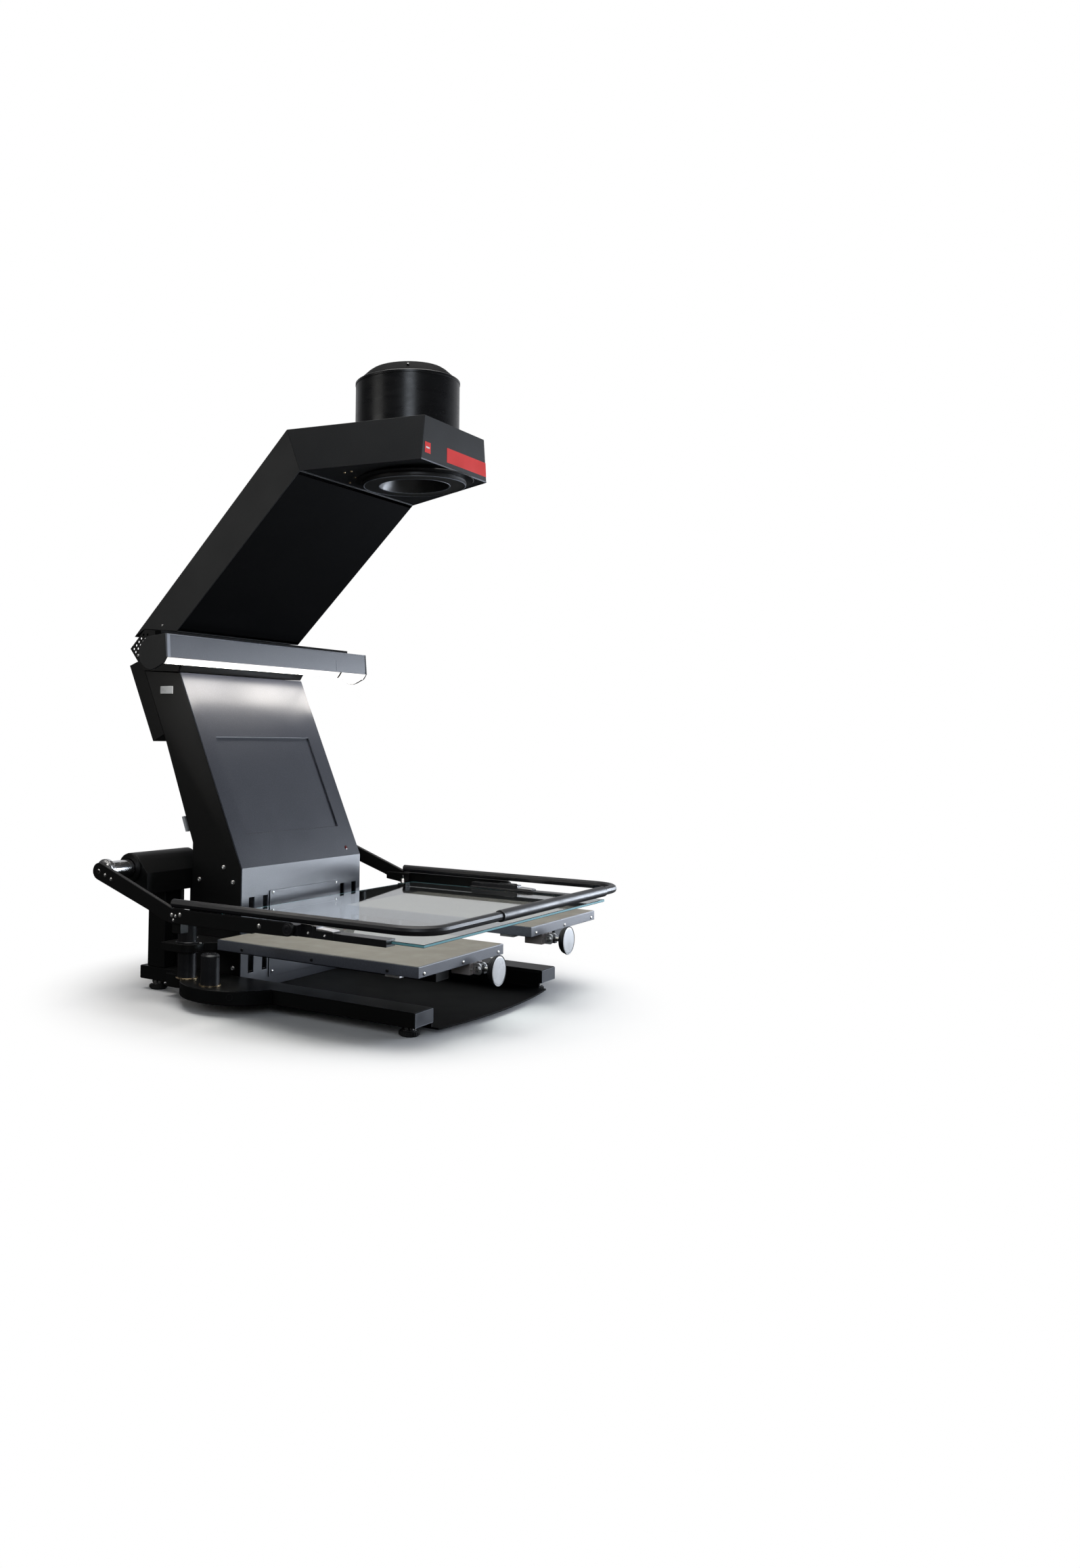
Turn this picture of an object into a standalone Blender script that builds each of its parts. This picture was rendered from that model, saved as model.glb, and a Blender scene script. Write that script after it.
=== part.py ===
"""Overhead book scanner: base, column, lamp, camera head, swinging glass frame and two book plates.

Run with: blender --background --python part.py
Metres, +Z up. The user stands at -Y, and +X is the user's right.
Lengths below are written in millimetres and turned into metres by MM.
The working frame has y = 0 at the column's lower front face. The empty scanner_frame carries
everything, and shifts it so that the origin is under the middle of the object, on the floor.
"""

import math

import bmesh
import bpy
from mathutils import Matrix, Vector

MM = 0.001
GAP = 0.3  # between two pieces that touch

# Overall reach, front of the grip sleeve to the back of the electronics box
REAR_Y = 305.0
HANDLE_Y = -519.0
SLEEVE_RADIUS = 10.2
CENTRE_Y = (REAR_Y + HANDLE_Y - SLEEVE_RADIUS) / 2

# Base
BEAM_BOTTOM, BEAM_TOP = 20.0, 45.6
BEAM_IN, BEAM_OUT = 208.0, 268.5
BEAM_FRONT, BEAM_STEP, BEAM_REAR = -426.4, 126.0, 220.0
TAIL_IN, TAIL_OUT = 195.0, 240.0
FLOOR_BOTTOM, FLOOR_THICK = 9.0, 3.0
FOOT_RADIUS = 17.0
FOOT_PLACES = {"front": (238.0, -398.0), "rear": (217.5, 192.0)}
POST_SIDE = 44.5
POD_RADIUS, POD_X, POD_Y = 110.0, 235.0, -26.7
POD_BOTTOM, POD_TOP = 21.7, 46.7
GUIDE_X, GUIDE_Y, GUIDE_RADIUS = 284.5, 58.5, 17.5
GUIDE_TOP = 152.0
DAMPER_X, DAMPER_Y, DAMPER_TOP = 309.0, -19.0, 103.0

# Column: outline in side view, y then z
COLUMN_HALF = 200.0
COLUMN_FOOT = 12.3
SHEET = 2.5
FRONT_SHEET = 3.0
FOLD = (0.0, 245.8)
PANEL_TOP = (165.3, 621.6)
REAR_LOW, REAR_FOLD, REAR_STEP, REAR_TOP = (125.0, 12.3), (125.0, 288.0), (206.0, 498.0), (262.0, 626.0)
SLOT_TOP, SLOT_BOTTOM = 189.0, 46.0
SLOTS = ((-177.0, -161.0), (-134.0, -120.0), (127.0, 141.0), (169.0, 185.0))
RECESS_HALF = 154.0
RECESS_FROM, RECESS_TO = 67.0, 271.0  # measured up the panel from the fold
COVER_HALF, COVER_TOP, COVER_BOTTOM = 114.0, 196.6, 30.0
INLET_PLACE, INLET_SIZE = (90.0, 84.0), (47.0, 27.0)

# Neck, lamp and head
NECK = [(168.0, 623.0), (255.0, 626.8), (255.0, 709.4), (178.0, 702.4), (157.0, 690.0), (157.0, 640.0)]
HINGE_SHEET = 2.0
HINGE_EAR = [(170.0, 623.0), (262.0, 627.0), (281.0, 647.4), (301.0, 672.0), (262.0, 710.2), (178.0, 702.4)]
HINGE_EAR += [(160.0, 690.0), (160.0, 650.0)]
VENT_RADIUS = 2.6
VENT_ROWS = ((264.8, 6.6, 7.0, 5), (254.0, 6.5, 6.9, 6))  # first y, step in y, step down, count
VENT_TOP = 699.4
LAMP_HALF = 331.0
LAMP_CAP = 4.5
LAMP_CENTRE, LAMP_RADIUS = (117.0, 650.7), 31.0
ARM_HALF = 201.0
ARM_REAR, ARM_REAR_TOP = (293.0, 696.0), (-91.4, 1073.1)
ARM_HEEL, ARM_TOE, ARM_FOLD = (265.0, 711.0), (177.0, 703.0), (-123.3, 991.3)
HEAD_FRONT = -340.0
HEAD_TOP_HALF, HEAD_BOTTOM_HALF = 113.0, 124.5
HEAD_FRONT_TOP, HEAD_FRONT_BOTTOM = 1086.6, 1003.0
LENS_Y = -250.0
RING_OUTER, RING_INNER, RING_BOTTOM, RING_FLANGE = 100.0, 67.0, 984.0, 7.0
DRUM_Y, DRUM_RADIUS, DRUM_RIM, CAP_TOP = -232.0, 101.0, 1187.0, 1210.0

# Glass frame
HINGE_Y, HINGE_Z = 182.6, 243.3
ARM_OUTER, ARM_INNER, SCREW_FACE = 394.2, 385.0, 395.0
SHAFT_RADIUS, BORE_RADIUS = 16.4, 17.4
HOUSING_OUTER, HOUSING_INNER = 311.0, 150.0
TUBE_X, TUBE_Z, TUBE_RADIUS, TUBE_REAR, TUBE_BEND = 386.0, 200.0, 8.0, 2.0, 58.0
SLEEVE_FROM, SLEEVE_TO = -148.0, 290.0
TILT_Y, TILT_Z = -256.3, 180.2
GLASS_HALF, GLASS_FRONT, GLASS_REAR, GLASS_LOW, GLASS_HIGH = 355.0, -495.0, -38.3, 170.9, 175.9

# Book plates
PLATE_IN, PLATE_OUT, PLATE_FRONT, PLATE_REAR, PLATE_THICK = 55.0, 343.0, -478.5, -64.1, 18.0
PLATE_TOP = {-1: 137.6, 1: 152.8}
KNOB_X, KNOB_FACE = 140.0, -515.0
BRACKET_NOSE = 28.0

# Colour, roughness and metallic value of each finish
FINISHES = {
    "black_paint": ((0.020, 0.021, 0.024), 0.48, 0.0),
    "grey_paint": ((0.060, 0.063, 0.078), 0.42, 0.0),
    "black_gloss": ((0.010, 0.010, 0.012), 0.16, 0.0),
    "anodised": ((0.030, 0.031, 0.036), 0.36, 0.9),
    "bright_metal": ((0.78, 0.78, 0.80), 0.22, 1.0),
    "chrome": ((0.85, 0.85, 0.86), 0.08, 1.0),
    "rubber": ((0.012, 0.012, 0.012), 0.8, 0.0),
    "diffuser": ((0.93, 0.93, 0.91), 0.35, 0.0),
    "glass": ((0.55, 0.82, 0.80), 0.03, 0.0),
    "white": ((0.90, 0.91, 0.92), 0.3, 0.0),
}
SIDES = {"left": -1, "right": 1}


def clear_scene():
    for obj in list(bpy.data.objects):
        bpy.data.objects.remove(obj, do_unlink=True)


def empty(name, place, parent=None):
    """An empty at a place of the working frame, in millimetres."""
    obj = bpy.data.objects.new(name, None)
    obj.empty_display_size = 0.03
    bpy.context.scene.collection.objects.link(obj)
    obj.parent = parent
    obj["place"] = place
    obj.location = (Vector(place) - Vector(parent["place"])) * MM if parent else Vector(place) * MM
    return obj


def finish_material(name, finish):
    colour, roughness, metallic = FINISHES[finish]
    material = bpy.data.materials.new(name)
    material.use_nodes = True
    shader = material.node_tree.nodes["Principled BSDF"]
    shader.inputs["Base Color"].default_value = (*colour, 1.0)
    shader.inputs["Roughness"].default_value = roughness
    shader.inputs["Metallic"].default_value = metallic
    if finish == "glass":
        shader.inputs["Transmission Weight"].default_value = 1.0
    return material


def new_object(name, shape, finish, parent, smooth=False):
    """Turns a bmesh in working millimetres into an object whose origin is the middle of its box."""
    bmesh.ops.recalc_face_normals(shape, faces=shape.faces)
    low = Vector(min(v.co[i] for v in shape.verts) for i in range(3))
    high = Vector(max(v.co[i] for v in shape.verts) for i in range(3))
    middle = (low + high) / 2
    bmesh.ops.transform(shape, matrix=Matrix.Scale(MM, 4) @ Matrix.Translation(-middle), verts=shape.verts)
    mesh = bpy.data.meshes.new(name)
    shape.to_mesh(mesh)
    shape.free()
    obj = bpy.data.objects.new(name, mesh)
    bpy.context.scene.collection.objects.link(obj)
    obj.parent = parent
    obj.location = (middle - Vector(parent["place"])) * MM
    if smooth:
        mesh.shade_smooth()
        mesh.set_sharp_from_angle(angle=math.radians(40))
    mesh.materials.append(finish_material(name, finish))
    return obj


def prism(outline, low, high, axis):
    """A bmesh of an outline swept along x, y or z; the outline gives the other two coordinates in order."""
    shape = bmesh.new()
    slot = "xyz".index(axis)

    def corner(point, depth):
        values = list(point)
        values.insert(slot, depth)
        return shape.verts.new(values)

    base = shape.faces.new([corner(point, low) for point in outline])
    swept = bmesh.ops.extrude_face_region(shape, geom=[base])
    moved = [item for item in swept["geom"] if isinstance(item, bmesh.types.BMVert)]
    step = [0.0, 0.0, 0.0]
    step[slot] = high - low
    bmesh.ops.translate(shape, vec=step, verts=moved)
    return shape


def cuboid(low, high):
    outline = [(low[0], low[1]), (high[0], low[1]), (high[0], high[1]), (low[0], high[1])]
    return prism(outline, low[2], high[2], "z")


def turned(profile, centre, axis="z", segments=32):
    """A closed profile of (radius, height) points turned about an axis; a point at radius 0 closes an end."""
    shape = bmesh.new()
    rings = []
    for radius, height in profile:
        count = 1 if radius == 0 else segments
        angles = [2 * math.pi * k / segments for k in range(count)]
        rings.append([shape.verts.new((radius * math.cos(a), radius * math.sin(a), height)) for a in angles])
    closed = profile[0][0] > 0
    pairs = list(zip(rings, rings[1:] + rings[:1])) if closed else list(zip(rings, rings[1:]))
    for first, second in pairs:
        for k in range(segments):
            corners = [first[k % len(first)], first[(k + 1) % len(first)]]
            corners += [second[(k + 1) % len(second)], second[k % len(second)]]
            shape.faces.new(list(dict.fromkeys(corners)))
    quarter = math.pi / 2
    turn = {"x": Matrix.Rotation(quarter, 4, "Y"), "y": Matrix.Rotation(quarter, 4, "X"), "z": Matrix()}
    bmesh.ops.transform(shape, matrix=Matrix.Translation(centre) @ turn[axis], verts=shape.verts)
    return shape


def rod(radius, low, high, centre, axis="z", segments=24):
    return turned([(0, low), (radius, low), (radius, high), (0, high)], centre, axis, segments)


def arc(centre, radius, start, stop, steps):
    """Points of an arc, in degrees."""
    angles = [math.radians(start + (stop - start) * k / steps) for k in range(steps + 1)]
    return [(centre[0] + radius * math.cos(a), centre[1] + radius * math.sin(a)) for a in angles]


def inset(points, distance):
    """A closed outline moved inwards by a distance, with mitred corners. The outline runs anticlockwise."""
    moved = []
    for k, point in enumerate(points):
        before, here, after = Vector(points[k - 1]), Vector(point), Vector(points[(k + 1) % len(points)])
        first, second = (here - before).normalized(), (after - here).normalized()
        normal = Vector((-first.y - second.y, first.x + second.x)).normalized()
        reach = distance / max(0.2, normal.dot(Vector((-first.y, first.x))))
        moved.append(tuple(here + normal * reach))
    return moved


def cut(obj, shape, name):
    """Cuts a hidden helper away from an object."""
    cutter = new_object(f"{name}_cutter", shape, "rubber", obj.parent)
    cutter.hide_render = True
    cutter.display_type = "WIRE"
    modifier = obj.modifiers.new(name, "BOOLEAN")
    modifier.operation = "DIFFERENCE"
    modifier.object = cutter
    return modifier


def join(obj, shape, name):
    """Adds a hidden helper to an object."""
    modifier = cut(obj, shape, name)
    modifier.operation = "UNION"


def soften(obj, width, segments=1):
    modifier = obj.modifiers.new("edges", "BEVEL")
    modifier.width = width * MM
    modifier.segments = segments
    modifier.limit_method = "ANGLE"
    modifier.angle_limit = math.radians(50)


def mirrored(outline, side):
    """An outline in x and y, flipped for the left side."""
    return [(side * x, y) for x, y in outline]


def sided(side, inner, outer):
    return (inner, outer) if side > 0 else (-outer, -inner)


# ---------------------------------------------------------------- base


def beam(name, side, parent):
    outline = [(BEAM_IN, BEAM_FRONT), (BEAM_OUT, BEAM_FRONT), (BEAM_OUT, BEAM_STEP), (TAIL_OUT, BEAM_STEP)]
    outline += [(TAIL_OUT, BEAM_REAR), (TAIL_IN, BEAM_REAR), (TAIL_IN, BEAM_STEP), (BEAM_IN, BEAM_STEP)]
    shape = prism(mirrored(outline, side), BEAM_BOTTOM, BEAM_TOP, "z")
    obj = new_object(f"base_beam_{name}", shape, "black_paint", parent)
    wall = 3.0
    hollow = [(BEAM_IN + wall, BEAM_FRONT + wall), (BEAM_OUT - wall, BEAM_FRONT + wall)]
    hollow += [(BEAM_OUT - wall, BEAM_STEP - wall), (TAIL_OUT - wall, BEAM_STEP - wall)]
    hollow += [(TAIL_OUT - wall, BEAM_REAR + wall), (BEAM_IN + wall, BEAM_REAR + wall)]
    cut(obj, prism(mirrored(hollow, side), BEAM_BOTTOM + wall, BEAM_TOP - wall, "z"), "tube_inside")
    soften(obj, 1.2)


def floor_plate(parent):
    """A thin sheet between the beams, with a curved front and a turned-up flange along each beam."""
    half, rise, front = BEAM_IN - GAP, 18.0, -437.0
    radius = (half**2 + rise**2) / (2 * rise)
    reach = math.degrees(math.asin(half / radius))
    bow = arc((0, front - rise + radius), radius, 270 - reach, 270 + reach, 14)
    outline = bow + [(half, 124.0), (-half, 124.0)]
    sheet = prism(outline, FLOOR_BOTTOM, FLOOR_BOTTOM + FLOOR_THICK, "z")
    obj = new_object("floor_plate", sheet, "black_paint", parent)
    for name, side in SIDES.items():
        xs = sided(side, half - FLOOR_THICK, half)
        flange = cuboid((xs[0], front + 14, FLOOR_BOTTOM + 1), (xs[1], -4.0, BEAM_TOP - 6))
        join(obj, flange, f"flange_{name}")


def foot(end, name, side, parent):
    """A rubber-soled levelling foot: sole, bright stem and lock nut in one turned piece."""
    x, y = FOOT_PLACES[end]
    profile = [(0, 0), (FOOT_RADIUS - 2, 0), (FOOT_RADIUS, 2), (FOOT_RADIUS, 8), (11, 11), (11, 18), (5, 18)]
    profile += [(5, BEAM_BOTTOM - GAP), (0, BEAM_BOTTOM - GAP)]
    sole = turned(profile, (side * x, y, 0), segments=20)
    obj = new_object(f"foot_{end}_{name}", sole, "rubber", parent, smooth=True)
    return obj


def rear_post(name, side, parent):
    xs = sided(side, TAIL_OUT - POST_SIDE, TAIL_OUT)
    low, high = (xs[0], 157.5, BEAM_TOP + GAP), (xs[1], 157.5 + POST_SIDE, 197.0 - GAP)
    soften(new_object(f"rear_post_{name}", cuboid(low, high), "black_paint", parent), 1.5)


def side_pod(name, side, parent):
    """The rounded block bolted to the outside of each beam, which carries the guide post."""
    flat = BEAM_OUT + GAP
    half_chord = math.degrees(math.acos((flat - POD_X) / POD_RADIUS))
    outline = arc((POD_X, POD_Y), POD_RADIUS, -half_chord, half_chord, 16)
    shape = prism(mirrored(outline, side), POD_BOTTOM, POD_TOP, "z")
    soften(new_object(f"side_pod_{name}", shape, "black_paint", parent, smooth=True), 1.0)


def guide_post(name, side, parent):
    """The round post on which the book plate rises."""
    profile = [(0, POD_TOP + GAP), (GUIDE_RADIUS, POD_TOP + GAP), (GUIDE_RADIUS, GUIDE_TOP - 2.0)]
    profile += [(GUIDE_RADIUS - 2.0, GUIDE_TOP), (0, GUIDE_TOP)]
    shape = turned(profile, (side * GUIDE_X, GUIDE_Y, 0), segments=24)
    new_object(f"guide_post_{name}", shape, "anodised", parent, smooth=True)


def lift_damper(name, side, parent):
    profile = [(0, POD_TOP + GAP), (17.5, POD_TOP + GAP), (17.5, DAMPER_TOP - 3)]
    profile += [(14.5, DAMPER_TOP), (0, DAMPER_TOP)]
    shape = turned(profile, (side * DAMPER_X, DAMPER_Y, 0), segments=24)
    new_object(f"lift_damper_{name}", shape, "anodised", parent, smooth=True)


# ---------------------------------------------------------------- column


def lean():
    """Unit vector up the leaning panel, and its length."""
    along = Vector(PANEL_TOP) - Vector(FOLD)
    return along.normalized(), along.length


def column_front(parent):
    """The folded front sheet, with four guide slots and the display opening."""
    up, _ = lean()
    inward = Vector((up.y, -up.x))
    bend = math.tan(math.atan2(up.x, up.y) / 2) * FRONT_SHEET
    top_inner = Vector(PANEL_TOP) + inward * FRONT_SHEET
    outline = [(0, COLUMN_FOOT), (FRONT_SHEET, COLUMN_FOOT), (FRONT_SHEET, FOLD[1] - bend)]
    outline += [tuple(top_inner), PANEL_TOP, FOLD]
    obj = new_object("column_front", prism(outline, -COLUMN_HALF, COLUMN_HALF, "x"), "grey_paint", parent)
    for k, (left, right) in enumerate(SLOTS):
        cut(obj, cuboid((left, -5, SLOT_BOTTOM), (right, 10, SLOT_TOP)), f"slot_{k + 1}")
    low = Vector(FOLD) + up * RECESS_FROM - inward * 4
    high = Vector(FOLD) + up * RECESS_TO - inward * 4
    window = [tuple(low), tuple(low + inward * 9), tuple(high + inward * 9), tuple(high)]
    cut(obj, prism(window, -RECESS_HALF, RECESS_HALF, "x"), "display_opening")


def display_panel(parent):
    """The flat panel seen through the opening, held 3.3 mm behind the front sheet."""
    up, _ = lean()
    inward = Vector((up.y, -up.x))
    low = Vector(FOLD) + up * (RECESS_FROM - 8) + inward * (FRONT_SHEET + GAP)
    high = Vector(FOLD) + up * (RECESS_TO + 8) + inward * (FRONT_SHEET + GAP)
    outline = [tuple(low), tuple(low + inward * 2), tuple(high + inward * 2), tuple(high)]
    new_object("display_panel", prism(outline, -RECESS_HALF - 8, RECESS_HALF + 8, "x"), "black_paint", parent)


def column_shell(parent):
    """Sides and back in one folded sheet, open to the front sheet and to the floor."""
    up, _ = lean()
    inward = Vector((up.y, -up.x))
    behind = FRONT_SHEET + GAP
    bend = math.tan(math.atan2(up.x, up.y) / 2) * behind
    top = Vector(PANEL_TOP) + inward * behind
    outer = [(behind, COLUMN_FOOT), REAR_LOW, REAR_FOLD, REAR_STEP, REAR_TOP]
    outer += [tuple(top), (behind, FOLD[1] - bend)]
    obj = new_object("column_shell", prism(outer, -COLUMN_HALF, COLUMN_HALF, "x"), "black_paint", parent)
    hollow = inset(outer, SHEET)
    hollow[0] = (-20.0, COLUMN_FOOT - 20)
    hollow[1] = (hollow[1][0], COLUMN_FOOT - 20)
    front = Vector(hollow[5]) - inward * 20
    hollow[5] = tuple(front)
    hollow[6] = (-20.0, FOLD[1])
    cut(obj, prism(hollow, -COLUMN_HALF + SHEET, COLUMN_HALF - SHEET, "x"), "inside")
    (x, z), (width, height) = INLET_PLACE, INLET_SIZE
    low, high = (x - width / 2, 110.0, z - height / 2), (x + width / 2, 140.0, z + height / 2)
    cut(obj, cuboid(low, high), "mains_inlet_opening")


def lower_cover(parent):
    low, high = (-COVER_HALF, -GAP - 1.5, COVER_BOTTOM), (COVER_HALF, -GAP, COVER_TOP)
    new_object("lower_cover", cuboid(low, high), "grey_paint", parent)


def rear_box(parent):
    """The deeper electronics box on the back of the column."""
    outline = [(207.2, 498.2), (236.0, 484.0), (REAR_Y, 637.5)]
    outline += [(282.0, 646.0), (270.0, 641.0), (262.8, 625.6)]
    obj = new_object("rear_box", prism(outline, -COLUMN_HALF, COLUMN_HALF, "x"), "black_paint", parent)
    hollow = inset(outline, SHEET)
    hollow[0] = (hollow[0][0] - 12.0, hollow[0][1] + 5.0)
    hollow[5] = (hollow[5][0] - 12.0, hollow[5][1] + 5.0)
    cut(obj, prism(hollow, -COLUMN_HALF + SHEET, COLUMN_HALF - SHEET, "x"), "inside")


def rear_latch(parent):
    outline = [(141.0, 311.0), (146.0, 309.4), (157.0, 338.0), (152.0, 339.6)]
    shape = prism([(y + 1.5, z - 2.0) for y, z in outline], -196.0, -186.0, "x")
    new_object("rear_latch", shape, "bright_metal", parent)


def side_socket(parent):
    """A flat bright socket on the near side of the column."""
    low, high = (-COLUMN_HALF - 2.5, 183.5, 579.0), (-COLUMN_HALF - GAP, 217.0, 594.5)
    soften(new_object("side_socket", cuboid(low, high), "bright_metal", parent), 0.8)


# ---------------------------------------------------------------- neck and lamp



def neck_shell(parent):
    obj = new_object("neck_shell", prism(NECK, -ARM_HALF, ARM_HALF, "x"), "black_paint", parent)
    cut(obj, prism(inset(NECK, SHEET), -ARM_HALF - 5, ARM_HALF + 5, "x"), "inside")


def hinge_plate(name, side, parent):
    """The side plate of the neck, whose rear corner stands out as an ear with two rows of vent holes."""
    xs = sided(side, ARM_HALF + GAP, ARM_HALF + GAP + HINGE_SHEET)
    obj = new_object(f"hinge_plate_{name}", prism(HINGE_EAR, xs[0], xs[1], "x"), "black_paint", parent)
    holes = []
    for first, step, drop, count in VENT_ROWS:
        holes += [(first + step * k, VENT_TOP - drop * k) for k in range(count)]
    for k, (y, z) in enumerate(holes):
        cut(obj, rod(VENT_RADIUS, xs[0] - 2, xs[1] + 2, (0, y, z), "x", 12), f"vent_{k + 1}")


def lamp_section():
    """Housing outline in side view: flat front, sloping top, round back; the diffuser closes its underside."""
    back = arc(LAMP_CENTRE, LAMP_RADIUS, -26, 84, 9)
    return [(79.0, 641.8), (100.0, 637.2)] + back + [(82.0, 685.4)]


def lamp_housing(parent):
    """An extruded housing, open at both ends until the caps close it."""
    obj = new_object("lamp_housing", prism(lamp_section(), -LAMP_HALF, LAMP_HALF, "x"), "grey_paint", parent)
    cut(obj, prism(inset(lamp_section(), 2.0), -LAMP_HALF - 5, LAMP_HALF + 5, "x"), "inside")


def lamp_diffuser(parent):
    """The white diffuser: a lip under the front edge, and behind it the recessed strip under the lamp."""
    lip = [(78.2, 641.2), (86.5, 630.3), (89.5, 630.3), (89.5, 634.8)]
    strip = [(138.0, 634.8), (143.0, 636.3), (100.0, 636.3)]
    new_object("lamp_diffuser", prism(lip + strip, -LAMP_HALF, LAMP_HALF, "x"), "diffuser", parent)


def lamp_cap(name, side, parent):
    xs = sided(side, LAMP_HALF + GAP, LAMP_HALF + GAP + LAMP_CAP)
    rounded = arc(LAMP_CENTRE, LAMP_RADIUS + 0.6, -112, 84, 14)
    outline = [(78.0, 642.0), (85.5, 630.5)] + rounded + [(82.0, 686.2)]
    shape = prism(outline, xs[0], xs[1], "x")
    soften(new_object(f"lamp_cap_{name}", shape, "black_paint", parent, smooth=True), 0.6)


# ---------------------------------------------------------------- arm and head


def arm_shell(parent):
    """Sides and back of the upper arm, open along its underside."""
    outer = [ARM_TOE, ARM_HEEL, ARM_REAR, ARM_REAR_TOP, ARM_FOLD]
    obj = new_object("arm_shell", prism(outer, -ARM_HALF, ARM_HALF, "x"), "black_paint", parent)
    hollow = inset(outer, SHEET)
    down = (Vector(ARM_FOLD) - Vector(ARM_TOE)).normalized()
    outward = Vector((-down.y, down.x)) * 20
    toe = tuple(Vector(hollow[0]) + outward)
    fold = tuple(Vector(hollow[4]) + outward)
    cut(obj, prism([toe] + hollow + [fold], -ARM_HALF + SHEET, ARM_HALF - SHEET, "x"), "inside")


def arm_cover(parent):
    """The flat cover that closes the arm's underside, let in between its sides."""
    up = (Vector(ARM_FOLD) - Vector(ARM_TOE)).normalized()
    inward = Vector((up.y, -up.x))
    start, stop = Vector(ARM_TOE) + up * 8, Vector(ARM_FOLD) - up * 8
    outline = [start, start + inward * 2, stop + inward * 2, stop]
    half = ARM_HALF - SHEET - GAP
    outline = [tuple(corner + inward * 0.4) for corner in outline]
    new_object("arm_cover", prism(outline, -half, half, "x"), "black_paint", parent)


def tapered(inset_by, rear_gap, extend):
    """The head as a tapering box. inset_by moves its walls in; extend draws them on below its underside."""
    shape = bmesh.new()
    rear_half, front_y = ARM_HALF - inset_by, HEAD_FRONT + inset_by
    top, bottom = HEAD_TOP_HALF - inset_by, HEAD_BOTTOM_HALF - inset_by
    rear_top, rear_low = ARM_REAR_TOP[0] - rear_gap, ARM_FOLD[0] - rear_gap
    low = [(-rear_half, rear_low, ARM_FOLD[1]), (rear_half, rear_low, ARM_FOLD[1])]
    low += [(bottom, front_y, HEAD_FRONT_BOTTOM), (-bottom, front_y, HEAD_FRONT_BOTTOM)]
    roof = ARM_REAR_TOP[1] - inset_by
    high = [(-rear_half, rear_top, roof), (rear_half, rear_top, roof)]
    high += [(top, front_y, HEAD_FRONT_TOP - inset_by), (-top, front_y, HEAD_FRONT_TOP - inset_by)]
    low = [Vector(a) + (Vector(a) - Vector(b)) * extend for a, b in zip(low, high)]
    low, high = [shape.verts.new(co) for co in low], [shape.verts.new(co) for co in high]
    shape.faces.new(low)
    shape.faces.new(high)
    for k in range(4):
        shape.faces.new([low[k], low[(k + 1) % 4], high[(k + 1) % 4], high[k]])
    bmesh.ops.triangulate(shape, faces=shape.faces)
    return shape


def head_slope():
    return math.atan2(HEAD_FRONT_TOP - ARM_REAR_TOP[1], ARM_REAR_TOP[0] - HEAD_FRONT)


def head_shell(parent):
    """The tapered head, open underneath, with a round opening in its top for the camera."""
    obj = new_object("head_shell", tapered(0.0, GAP, 0.0), "black_paint", parent)
    cut(obj, tapered(SHEET, GAP + SHEET, 0.2), "inside")
    cut(obj, rod(86.0, 1060, 1100, (0, DRUM_Y, 0)), "camera_opening")


def head_floor(parent):
    """The plate that closes the head's underside, with the round opening for the lens ring."""
    shape = bmesh.new()
    wall = SHEET + GAP
    slope = (HEAD_FRONT_BOTTOM - ARM_FOLD[1]) / (ARM_FOLD[0] - HEAD_FRONT)
    rear_half, front_half = ARM_HALF - wall - 3, HEAD_BOTTOM_HALF - wall - 1.2
    rear_y, front_y = ARM_FOLD[0] - wall - 4, HEAD_FRONT + wall
    corners = [(-rear_half, rear_y), (rear_half, rear_y), (front_half, front_y), (-front_half, front_y)]
    rise = [ARM_FOLD[1] + 0.5 + (ARM_FOLD[0] - y) * slope for _, y in corners]
    low = [shape.verts.new((x, y, z)) for (x, y), z in zip(corners, rise)]
    high = [shape.verts.new((x, y, z + 2.0)) for (x, y), z in zip(corners, rise)]
    shape.faces.new(low)
    shape.faces.new(high)
    for k in range(4):
        shape.faces.new([low[k], low[(k + 1) % 4], high[(k + 1) % 4], high[k]])
    obj = new_object("head_floor", shape, "black_paint", parent)
    cut(obj, rod(RING_INNER + 14, 960, 1020, (0, LENS_Y, 0), segments=32), "lens_opening")


def lens_ring(parent):
    """The flanged ring under the head, with a cone that narrows towards the lens."""
    flange = RING_BOTTOM + RING_FLANGE
    profile = [(RING_INNER, RING_BOTTOM), (RING_OUTER - 3, RING_BOTTOM), (RING_OUTER, RING_BOTTOM + 3)]
    profile += [(RING_OUTER, flange), (RING_INNER + 12, flange), (RING_INNER + 12, 1008)]
    profile += [(50, 1040), (47, 1040)]
    profile += [(RING_INNER - 4, RING_BOTTOM + 8)]
    shape = turned(profile, (0, LENS_Y, 0), segments=40)
    new_object("lens_ring", shape, "black_gloss", parent, smooth=True)


def camera_body(parent):
    """The camera and its lens, on the axis of the ring, inside the head and the drum."""
    profile = [(0, 1044), (34, 1044), (38, 1048), (38, 1074), (62, 1074), (62, 1158), (0, 1158)]
    shape = turned(profile, (0, (LENS_Y + DRUM_Y) / 2, 0), segments=24)
    new_object("camera_body", shape, "black_gloss", parent, smooth=True)


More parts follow.
